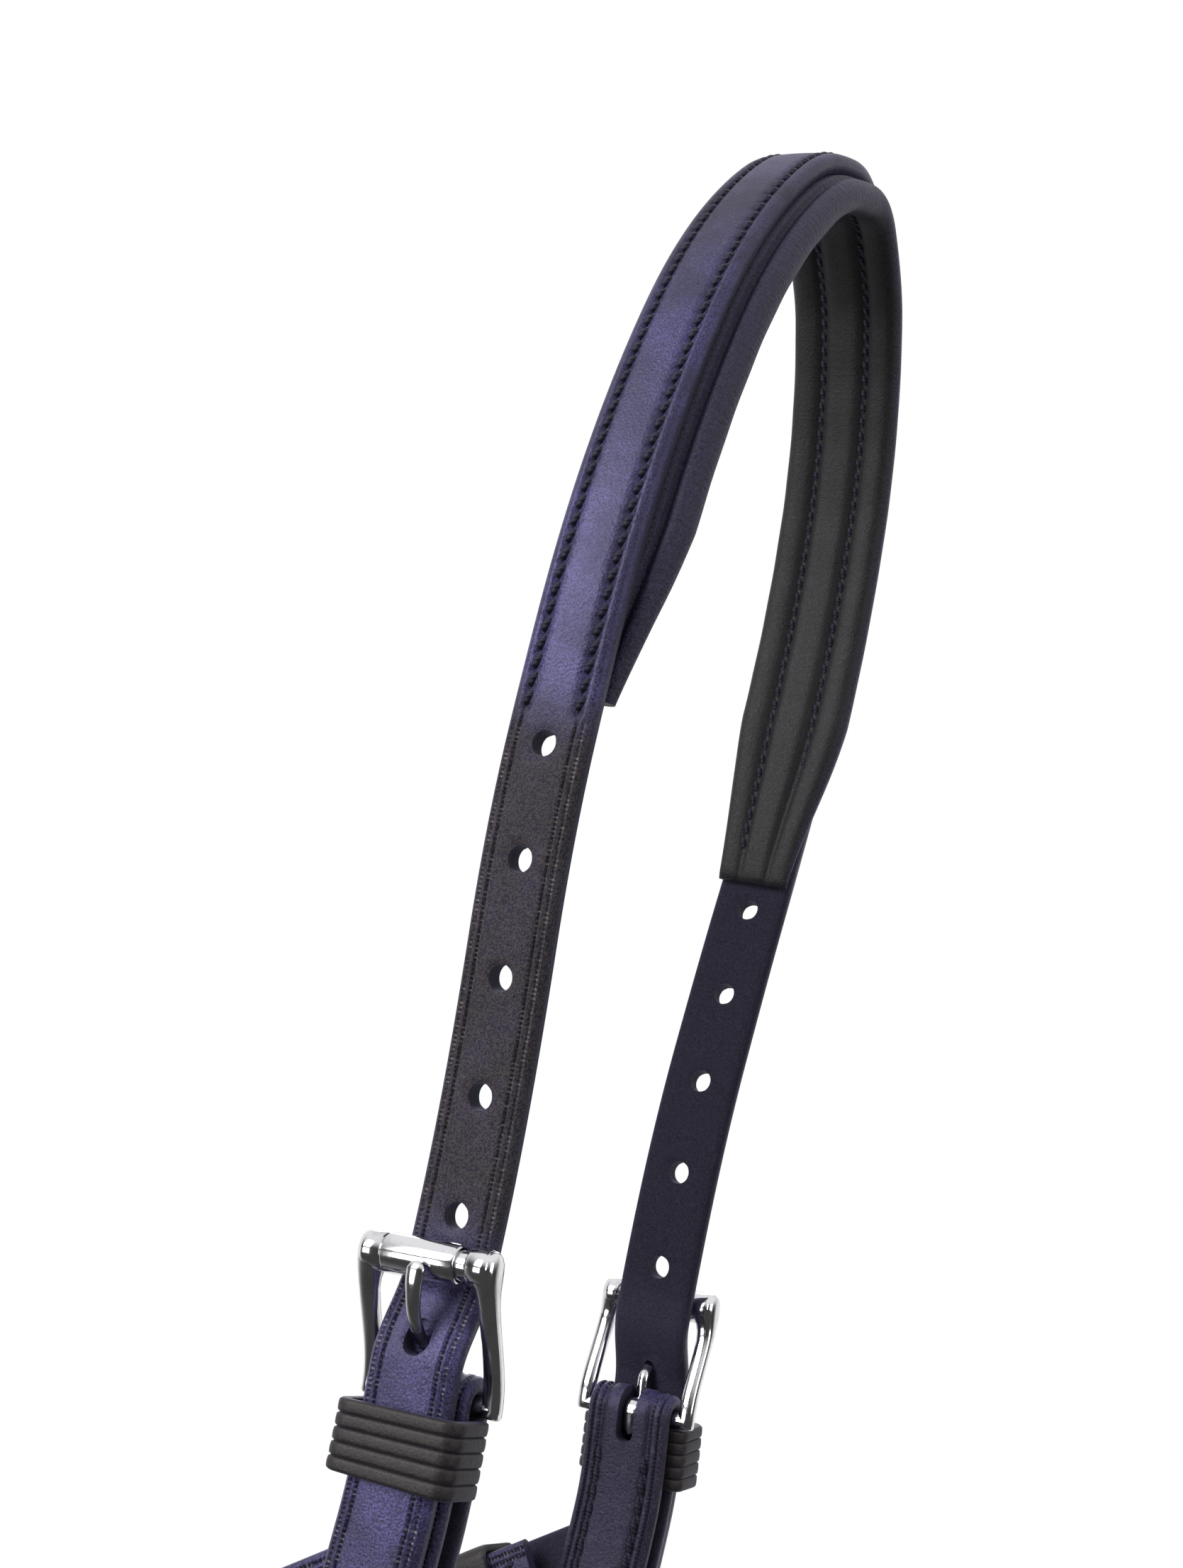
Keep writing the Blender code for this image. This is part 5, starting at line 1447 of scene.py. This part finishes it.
def rounded_path(half_width, low, high, corner, tuck=None):
    """(across, out) points of a loop round a strap. With a tuck its ends stay open on the low side."""
    flat = half_width - corner
    points = []
    if tuck is not None:
        points += [(x, low) for x in even_steps(half_width - tuck, flat, TUCK_STEP)[:-1]]
    for y, start in ((low + corner, -QUARTER), (high - corner, 0.0)):
        bend = turns(6, start, QUARTER)
        points += [(flat + corner * math.cos(t), y + corner * math.sin(t)) for t in bend]
    points += [(x, high) for x in even_steps(flat, 0.0, LOOP_TOP_STEP)[1:-1]]
    whole = points + [(0.0, high)] + [(-x, y) for x, y in reversed(points)]
    if tuck is None:
        whole += [(x, low) for x in even_steps(-flat, flat, LOOP_BACK_STEP)[1:-1]]
    return whole


def band_loop(name, path, start, width, thickness, groove, body, arch, side=1, bands=1, closed=False):
    """A leather band along an (across, out) path, its outer face pressed into rounded bands."""
    low = -thickness / 2
    inner = 0.12 * thickness
    section = [(inner, low), (width / 2, low), (width - inner, low), (width, inner + low)]
    steps = 8 * bands if bands > 1 else 18
    for k in range(steps, -1, -1):
        share = k / steps
        swell = abs(math.sin(math.pi * bands * share)) ** 0.2
        section.append((width * share, thickness / 2 - groove * (1 - swell)))
    section.append((0.0, inner + low))
    rings = []
    lengths = []
    for x, y, normal, travelled in walked(path, closed):
        rings.append([(x - normal.x * h, start + s, y - normal.y * h) for s, h in section])
        lengths.append(travelled)
    dress(skin(rings, lengths, closed=closed), name, "plain", body, arch, side)


def keeper(prefix, buckle, body):
    """A ribbed loop over the billet, its ends tucked between the folded strap's two layers."""
    half_thick = KEEPER_THICKNESS / 2
    half_width = buckle.chape_width / 2 + KEEPER_PLAY + half_thick
    low = buckle.inner_out + buckle.chape / 2 + GAP + half_thick
    high = buckle.lift + buckle.billet / 2 + GAP + half_thick
    path = rounded_path(half_width, low, high, KEEPER_CORNER, KEEPER_TUCK)
    start = buckle.bar + KEEPER_START
    band_loop(prefix + "_keeper", path, start, KEEPER_WIDTH, KEEPER_THICKNESS, RIB_DEPTH,
              body, buckle.arch, buckle.side, KEEPER_BANDS)


def buckle_set(prefix, buckle, body):
    buckle_frame(prefix, buckle, body)
    buckle_roller(prefix, buckle)
    buckle_tongue(prefix, buckle)
    keeper(prefix, buckle, body)


def seam(row, front, start, end, back):
    """Stitches along both edges of a folded strap, on its face and on its turned-back end."""
    return both_sides(row, start, end, lambda s: front, 1) + both_sides(row, start, end, back, -1)


def cheek_strap(word, buckle, ring_at):
    """A cheek strap, folded round the buckle's lower bar above and round the cheek ring below."""
    lower, ring_back = ring_fold(ring_at, buckle.chape_out, CHEEK_THICKNESS, RING_TURN_BACK)
    line = buckle.fold(CHEEK_TURN_BACK) + buckle.line_to(ring_at) + lower[::-1]
    taper_start = ring_at - CHEEK_TAPER_LENGTH
    widths = tapered([s for s, _ in line], taper_start, ring_at, CHEEK_WIDTH, RING_END_WIDTH)
    row, *_ = channel = fine_row(CHEEK_WIDTH)
    profile = Profile(CHEEK_WIDTH, CHEEK_THICKNESS, (*creases(CHEEK_WIDTH), channel), CROWN_CROWN / 2)
    strap(word + "_cheek_strap", line, widths, profile, "cheek", "headpiece", buckle.arch, buckle.side,
          tools=[slot_tool(buckle)])
    front = buckle.chape_out + CHEEK_THICKNESS / 2 - FINE_ROW_DEPTH
    stretches = (
        buckle.turned_back(CHEEK_TURN_BACK),
        (ring_at - RING_TURN_BACK + ROW_SHORT, taper_start + ROW_PAST_TAPER, ring_back),
    )
    rows = []
    for start, end, level in stretches:
        rows += seam(row, front, *sorted((buckle.side * start, buckle.side * end)), level)
    stitches(word + "_cheek_stitches", rows, "headpiece", buckle.arch)


def head_piece():
    """The crown strap and its pad, and each side's buckle and cheek strap."""
    apex = UP * (PAD_THICKNESS + GAP + BILLET_THICKNESS / 2)
    arch = Arch(CROWN_BENDS, UP, apex, SWAY, lean=LEAN)
    buckles = []
    for side, word in ((-1, "right"), (1, "left")):
        buckle = Buckle(arch, side, CROWN_ROLLER, BILLET_THICKNESS, CHEEK_THICKNESS, CHEEK_WIDTH, CHEEK_OUT)
        buckles.append(buckle)
        buckle_set(word + "_cheek", buckle, "headpiece")
        cheek_strap(word, buckle, buckle.bar + CHEEK_LENGTH)
    crown_strap(*buckles)
    crown_pad(arch)
    return arch, buckles[-1]


# Side straps


def side_buckle(arch, bar):
    """A buckle on an arch's left leg, its lower bar at this length."""
    thick = SIDE_STRAP_THICKNESS
    return Buckle(arch, 1, bar - BUCKLE_PITCH, thick, thick, SIDE_STRAP_WIDTH, 0.0)


def side_billet(name, buckle, line_start, widths_start, tip_past_bar, body):
    """A long strap from the right side round the jaw and through the buckle on the left leg."""
    end = buckle.bar + tip_past_bar
    used = buckle.roller + HOLE_PAST_ROLLER
    holes = [used + (k - SIDE_USED_HOLE) * HOLE_PITCH for k in range(SIDE_HOLE_COUNT)]
    holes = [length for length in holes if length < end - HOLE_PITCH / 2]
    first = line_start[-1][0]
    lengths = join_lengths(hole_lengths(first, end - TIP_LENGTH, holes), tip_lengths(end))[1:]
    line = line_start + [(s, buckle.billet_out(s)) for s in lengths]
    widths = widths_start + tip_widths(lengths, end, SIDE_STRAP_WIDTH)
    profile = Profile(SIDE_STRAP_WIDTH, SIDE_STRAP_THICKNESS, creases(SIDE_STRAP_WIDTH), CROWN_CROWN / 2)
    strap(name, line, widths, profile, "strap", body, buckle.arch,
          holes=holes, tools=hole_tools(holes, SIDE_USED_HOLE, buckle))


def side_chape(name, buckle, line_end, width_end, turn_back, body):
    """The short strap that carries a side buckle, folded round its lower bar."""
    wide = buckle.chape_width
    line = buckle.fold(turn_back) + buckle.line_to(line_end[0][0])
    widths = [wide] * len(line) + [width_end] * len(line_end)
    profile = Profile(wide, buckle.chape, creases(wide), CROWN_CROWN / 2)
    strap(name, line + line_end, widths, profile, "strap", body, buckle.arch, tools=[slot_tool(buckle)])
    front = buckle.chape_out + buckle.chape / 2 - FINE_ROW_DEPTH / 2
    rows = seam(wide / 2 - FINE_ROW_IN, front, *buckle.turned_back(turn_back))
    stitches(name + "_stitches", rows, body, buckle.arch)


def runner(name, buckle):
    """A plain loop that slides along the billet and the folded strap."""
    room = SLACK + RUNNER_THICKNESS / 2
    low = buckle.inner_out - buckle.chape / 2 - room
    high = buckle.lift + buckle.billet / 2 + room
    path = rounded_path(buckle.chape_width / 2 + room, low, high, KEEPER_CORNER)
    band_loop(name, path, buckle.bar + RUNNER_START, RUNNER_WIDTH, RUNNER_THICKNESS, RIB_DEPTH / 2,
              name, buckle.arch, closed=True)


def jowl(crown, cheek):
    """The strap round the jaw: its ends lie between the layers of the cheek straps."""
    at = cheek.bar + JOWL_FROM_BUCKLE
    crossing = crown.place(0, at, cheek.bar_out)
    middle = eased(at, SWAY_START, SWAY_END, SWAY)[0]
    out = Vector((-math.sin(JOWL_SLANT), 0, -math.cos(JOWL_SLANT)))
    bends = bends_for(JAW_BEND_SHARES, crossing.y - middle)
    arch = arch_ending_at(bends, out, JOWL_LEG, crossing, middle)
    end = bends[-1][0] + JOWL_LEG
    buckle = side_buckle(arch, end - JOWL_BAR_TO_CHEEK)
    root = end + JOWL_ROOT_PAST
    side_billet("jowl_strap", buckle, [(-root, 0.0)], [SIDE_STRAP_WIDTH], JOWL_TIP_PAST_BAR, "headpiece")
    side_chape("jowl_chape", buckle, [(root, 0.0)], SIDE_STRAP_WIDTH, JOWL_TURN_BACK, "headpiece")
    buckle_set("jowl", buckle, "headpiece")
    runner("jowl_runner", buckle)


# Noseband


def noseband(crown, cheek):
    """The swinging lower part: cheek rings, band, pad, chain, rings and the chin strap."""
    at = cheek.bar + CHEEK_LENGTH
    wire_out = CHEEK_OUT - CHEEK_THICKNESS / 2 - GAP - CHEEK_RING_WIRE
    middle = eased(at, SWAY_START, SWAY_END, SWAY)[0]
    places = []
    for side, word in ((-1, "right"), (1, "left")):
        place = crown.place(0, side * at, wire_out) - UP * CHEEK_RING_RADIUS
        matrix = frame_matrix(FORWARD, UP, FORWARD.cross(UP), place)
        ring = ring_body(CHEEK_RING_RADIUS, CHEEK_RING_WIRE)
        dress(ring, word + "_cheek_ring", "steel", "noseband", matrix=matrix)
        places.append(place)
    right, left = places
    centre = (right + left) / 2
    half = (left - right).length / 2
    bends = bends_for(NOSE_BEND_SHARES, half + ring_fold_radius(NOSE_BAND_THICKNESS))
    front_wire = centre + FORWARD * CHEEK_RING_RADIUS
    nose = arch_ending_at(bends, FORWARD, NOSE_LEG, front_wire, middle)
    nose_band(nose, bends[-1][0] + NOSE_LEG)
    pad = Pad(NOSE_PAD_HALF_LENGTH, NOSE_PAD_END_TAPER, NOSE_PAD_WIDTH, NOSE_PAD_END_WIDTH,
              NOSE_PAD_THICKNESS, NOSE_BAND_THICKNESS)
    pad_body("nose_pad", nose, pad, NOSE_PAD_SHARES, "noseband")
    chain(nose)
    chin(centre, half, middle)


def nose_band(arch, ring_at):
    """The leather band under the chain, folded round both cheek rings."""
    end = ring_fold(ring_at, 0.0, NOSE_BAND_THICKNESS, NOSE_TURN_BACK)[0]
    half = [(s, 0.0) for s in even_steps(0.0, ring_at, PLAIN_STEP)[1:-1]] + end[::-1]
    line = [(-s, out) for s, out in reversed(half)] + [(0.0, 0.0)] + half
    start = ring_at - NOSE_TAPER_LENGTH
    widths = tapered([abs(s) for s, _ in line], start, ring_at, NOSE_BAND_WIDTH, RING_END_WIDTH)
    folded = [RING_END_WIDTH] * len(end)
    widths = folded + widths[len(end):-len(end)] + folded
    row, *_ = channel = fine_row(NOSE_BAND_WIDTH)
    profile = Profile(NOSE_BAND_WIDTH, NOSE_BAND_THICKNESS, (*creases(NOSE_BAND_WIDTH), channel))
    strap("nose_band", line, widths, profile, "strap", "noseband", arch)
    reach = start - ROW_PAST
    level = NOSE_BAND_THICKNESS / 2 - FINE_ROW_DEPTH
    stitches("nose_stitches", both_sides(row, -reach, reach, lambda s: level, 1), "noseband", arch)


def chain_pins(arch, out):
    """Lengths along the arch at which the chain's pins stand on the left, one pitch apart."""

    def spot(length):
        return arch.place(0, length, out)

    def search(start, low, high):
        for _ in range(SEARCH_STEPS):
            middle = (low + high) / 2
            gap = (spot(middle) - start(middle)).length
            low, high = (middle, high) if gap < LINK_PITCH else (low, middle)
        return middle

    pins = [search(lambda s: spot(-s), 0.0, LINK_PITCH)]
    for _ in range(LINK_COUNT // 2):
        fixed = spot(pins[-1])
        pins.append(search(lambda s: fixed, pins[-1], pins[-1] + 2 * LINK_PITCH))
    return pins


def link_plate(low, high):
    """A pressed plate between two heights, with round ends, a narrow waist and eased edges."""
    right = [(LINK_WAIST_HALF_LENGTH * share, -LINK_WAIST) for share in (0.0, 0.5, 1.0)]
    for turn in turns(14, -PLATE_END_TURN, 2 * PLATE_END_TURN):
        right.append((LINK_PITCH / 2 + LINK_RADIUS * math.cos(turn), LINK_RADIUS * math.sin(turn)))
    right += [(LINK_WAIST_HALF_LENGTH * share, LINK_WAIST) for share in (1.0, 0.5)]
    outline = right + [(-x, -y) for x, y in right]
    inset = PLATE_THICKNESS * 0.18
    rings = []
    for height, back in ((low, inset), (low + inset, 0.0), (high - inset, 0.0), (high, inset)):
        ring = []
        for x, y in outline:
            away = Vector((x - math.copysign(min(abs(x), LINK_PITCH / 2), x), y)).normalized() * back
            ring.append((x - away.x, y - away.y, height))
        rings.append(ring)
    return skin(rings, [0.0, inset, high - low, high - low + inset])


def chain_link(name, matrix, outer):
    """An outer link, two plates on two headed pins, or an inner one, two plates on two bushings."""
    inner_face = INNER_WIDTH / 2
    if outer:
        inner_face += PLATE_THICKNESS + GAP
    outer_face = inner_face + PLATE_THICKNESS
    link = link_plate(inner_face, outer_face)
    parts = [link_plate(-outer_face, -inner_face)]
    upright = Matrix.Rotation(-QUARTER, 4, "Y")
    for at in ((-LINK_PITCH / 2, 0, 0), (LINK_PITCH / 2, 0, 0)):
        if outer:
            reach = outer_face + PIN_HEAD / 2
            head = PIN_HEAD_RADIUS
            half = [(0.0, PIN_RADIUS), (outer_face - GAP, PIN_RADIUS), (outer_face - GAP, head)]
            half += [(reach - PIN_EASE, head), (reach, head * 0.8), (reach + PIN_DOME, head * 0.4)]
            half.append((reach + PIN_DOME, PIN_CENTRE))
            part = revolve(mirrored(half), PIN_STEPS, at, upright)
        else:
            reach = inner_face + GAP
            part = tube(reach, PIN_RADIUS + GAP, BUSHING_RADIUS, PIN_EASE, BUSHING_STEPS, at, upright)
        parts.append(part)
    merge(link, parts)
    dress(link, name, "steel", "noseband", matrix=matrix, sharp=35)


def ring_staple(word, matrix):
    """A steel eye on a foot across the link's plates; the ring's wire runs through it along the chain."""
    half_height = INNER_WIDTH / 2 + PLATE_THICKNESS
    half = STAPLE_FOOT_WIDTH / 2
    face = LINK_WAIST + GAP
    top = face + STAPLE_FOOT_THICKNESS
    ease = STAPLE_FOOT_THICKNESS * 0.25
    levels = ((face, ease), (face + ease, 0.0), (top - ease, 0.0), (top, ease), (top + ease, half * 0.5))
    section = [(flattened(a, FOOT_POWER), flattened(b, FOOT_POWER)) for a, b in circle(1, FOOT_SIDES)]
    rings = [[(a * (half - back), y, b * (half_height - back)) for a, b in section] for y, back in levels]
    foot = skin(rings, [y for y, _ in levels])
    eye_at = (0, top + STAPLE_EYE_OUT, 0)
    eye = tube(STAPLE_EYE_THICKNESS / 2, STAPLE_BORE_RADIUS, STAPLE_EYE_RADIUS, STAPLE_EYE_EASE,
               STAPLE_EYE_STEPS, eye_at)
    merge(foot, [eye])
    dress(foot, word + "_ring_staple", "steel", "noseband", matrix=matrix, sharp=40)
    return matrix @ Vector(eye_at)


def nose_ring(word, link_matrix, eye):
    """A ring that hangs from its staple."""
    along = link_matrix.to_3x3() @ FORWARD
    hang = (UP - along * along.dot(UP)).normalized()
    wire = eye - hang * (STAPLE_BORE_RADIUS - NOSE_RING_WIRE - 2 * GAP)
    matrix = frame_matrix(along, hang, along.cross(hang), wire - hang * NOSE_RING_RADIUS)
    name = word + "_nose_ring"
    dress(ring_body(NOSE_RING_RADIUS, NOSE_RING_WIRE), name, "steel", name, matrix=matrix)


def chain(nose):
    """Eleven links along the band, three ring staples with their rings, and four leather loops."""
    left = chain_pins(nose, CHAIN_OUT)
    pins = [-s for s in reversed(left)] + left
    reach = LINK_COUNT // 2
    matrices = {}
    middles = {}
    for number, (start, end) in enumerate(zip(pins, pins[1:]), 1):
        index = number - 1 - reach
        middles[index] = (start + end) / 2
        first, second = (nose.place(0, pin, CHAIN_OUT) for pin in (start, end))
        along = (second - first).normalized()
        out = along.cross(UP)
        matrices[index] = frame_matrix(along, out, along.cross(out), (first + second) / 2)
        chain_link(f"chain_link_{number:02d}", matrices[index], number % 2 == 1)
    for word, index in STAPLE_LINKS:
        nose_ring(word, matrices[index], ring_staple(word, matrices[index]))
    room = SLACK + LOOP_THICKNESS / 2
    for number, index in enumerate(LOOP_LINKS, 1):
        surface = nose.place(0, middles[index], 0)
        high = (matrices[index].translation - surface).length + LINK_WAIST + room
        path = rounded_path(
            NOSE_BAND_WIDTH / 2 + room, -NOSE_BAND_THICKNESS / 2 - room, high, LOOP_THICKNESS, LOOP_TUCK)
        band_loop(f"chain_loop_{number}", path, middles[index] - LOOP_WIDTH / 2, LOOP_WIDTH, LOOP_THICKNESS,
                  RIB_DEPTH / 2, "noseband", nose)


def chin(centre, half, middle):
    """The chin strap: folded round the right cheek ring, and buckled on a short strap from the left one."""
    thick = SIDE_STRAP_THICKNESS
    bends = bends_for(JAW_BEND_SHARES, half + ring_fold_radius(thick))
    out = Vector((-math.cos(CHIN_DROP), 0, -math.sin(CHIN_DROP)))
    rear_wire = centre + out * CHEEK_RING_RADIUS
    arch = arch_ending_at(bends, out, CHIN_LEG, rear_wire, middle)
    ring_at = bends[-1][0] + CHIN_LEG
    buckle = side_buckle(arch, ring_at - CHIN_BAR_TO_RING)
    right = [(-s, y) for s, y in ring_fold(ring_at, 0.0, thick, CHIN_TURN_BACK)[0]]
    widths = [RING_END_WIDTH] * len(right) + [SIDE_STRAP_WIDTH]
    right.append((CHEEK_TAPER_LENGTH - ring_at, 0.0))
    side_billet("chin_strap", buckle, right, widths, CHIN_TIP_PAST_BAR, "noseband")
    left = ring_fold(ring_at, 0.0, thick, CHIN_RING_TURN_BACK, CHIN_PINCH_SHARE)[0][::-1]
    side_chape("chin_chape", buckle, left, RING_END_WIDTH, CHIN_BAR_TURN_BACK, "noseband")
    buckle_set("chin", buckle, "noseband")


# Studio: how bright the surround is for light on the object, and what polished metal sees of it
SURROUND = 0.36
BACKDROP_WAY = (-0.43, 0.79, 0.0)
UNLIT_SHARE = 0.05
FLOOR_UNLIT = 0.06
SHADOW_REACH = 0.30
WHITE_REACH = 0.62

# Each lamp's name, place, width, height and watts
LAMPS = (
    ("window", (-0.66, -1.15, 0.24), 0.60, 0.75, 17.5),
    ("low", (-0.32, -0.60, -0.42), 0.25, 0.25, 1.3),
    ("side", (1.35, -0.35, 0.15), 0.7, 0.7, 6.0),
    ("behind", (-0.7, 1.2, 0.6), 0.8, 0.8, 6.0),
)
AIM = Vector((0.0, 0.0, -0.18))

# The floor lies low enough for the noseband to swing over it
FLOOR_DROP = 0.085
FLOOR_SIZE = 6.0


def camera():
    """The photo's camera."""
    level = Vector((math.cos(CAMERA_YAW), math.sin(CAMERA_YAW), 0))
    ahead = Vector((-math.sin(CAMERA_YAW), math.cos(CAMERA_YAW), 0))
    look = ahead * math.cos(CAMERA_PITCH) + UP * math.sin(CAMERA_PITCH)
    above = level.cross(look)
    right = level * math.cos(CAMERA_ROLL) + above * math.sin(CAMERA_ROLL)
    up = above * math.cos(CAMERA_ROLL) - level * math.sin(CAMERA_ROLL)
    data = bpy.data.cameras.new("camera")
    data.sensor_width = SENSOR
    data.lens = FOCAL_PIXELS * SENSOR / PHOTO_HEIGHT
    data.clip_start = 0.01
    made = new_object("camera", data)
    made.matrix_world = frame_matrix(right, up, -look, Vector(CAMERA_PLACE))
    bpy.context.scene.camera = made


def lamps():
    for name, place, width, height, watts in LAMPS:
        data = bpy.data.lights.new(name, "AREA")
        data.shape = "RECTANGLE"
        data.size = width
        data.size_y = height
        data.energy = watts
        lamp = new_object(name, data)
        way = (AIM - Vector(place)).normalized()
        lamp.matrix_world = Matrix.Translation(place) @ way.to_track_quat("-Z", "Y").to_matrix().to_4x4()


def surround():
    """An even white surround. Polished metal sees a lit backdrop and ceiling with dark between them."""
    world = bpy.data.worlds.new("surround")
    bpy.context.scene.world = world
    world.use_nodes = True
    n = Tree(world.node_tree)
    way = n.add("TexCoord").outputs["Generated"]
    backdrop = n.between(n.along_way(way, BACKDROP_WAY), 0.0, 0.55, UNLIT_SHARE, 1.0)
    ceiling = n.between(n.add("SeparateXYZ", way).outputs["Z"], 0.1, 0.75, UNLIT_SHARE, 1.0)
    rays = n.add("LightPath").outputs
    metal = n.highest(backdrop, ceiling)
    lit = n.add("Mix", rays["Is Glossy Ray"], None, SURROUND, metal, data_type="FLOAT").outputs[0]
    clear = n.highest(rays["Is Camera Ray"], rays["Is Transmission Ray"])
    level = n.add("Mix", clear, None, lit, 1.0, data_type="FLOAT").outputs[0]
    background = n.tree.nodes["Background"]
    n.link(level, background.inputs["Strength"])
    n.link(WHITE, background.inputs["Color"])


def pale_floor():
    """A plain pale material, which keeps the shadow near the object and fades to white away from it."""
    n = Look("pale floor")
    rough = n.total(0.75, n.times(n.noise(12), 0.1))
    n.finish(FLOOR, rough, n.times(n.noise(60, 3), FLOOR_HEIGHT), 0.2)
    far = n.add("VectorMath", n.place, operation="LENGTH").outputs["Value"]
    white = n.between(far, SHADOW_REACH, WHITE_REACH)
    rays = n.add("LightPath").outputs
    seen, glossy, clear = (rays[f"Is {kind} Ray"] for kind in ("Camera", "Glossy", "Transmission"))
    share = n.times(white, n.math("MINIMUM", n.total(seen, glossy, clear), 1.0))
    shown = n.between(n.along_way(n.place, BACKDROP_WAY), -0.1, 0.5, FLOOR_UNLIT, 1.0)
    glow = n.add("Emission", WHITE, n.highest(seen, n.times(glossy, shown), clear)).outputs[0]
    both = n.add("MixShader", share, n.shader.outputs[0], glow).outputs[0]
    n.link(both, n.tree.nodes["Material Output"].inputs["Surface"])
    return n.material


def floor():
    low = cad_box[0][2] - FLOOR_DROP
    half = FLOOR_SIZE / 2
    work = bmesh.new()
    corners = ((-half, -half), (half, -half), (half, half), (-half, half))
    work.faces.new([work.verts.new((x, y, low)) for x, y in corners])
    bmesh.ops.subdivide_edges(work, edges=work.edges, cuts=3, use_grid_fill=True)
    made = mesh_object("floor", work)
    made.data.materials.append(pale_floor())


crown, left_cheek = head_piece()
jowl(crown, left_cheek)
noseband(crown, left_cheek)
camera()
lamps()
surround()
floor()
bpy.context.scene.view_settings.view_transform = "Standard"
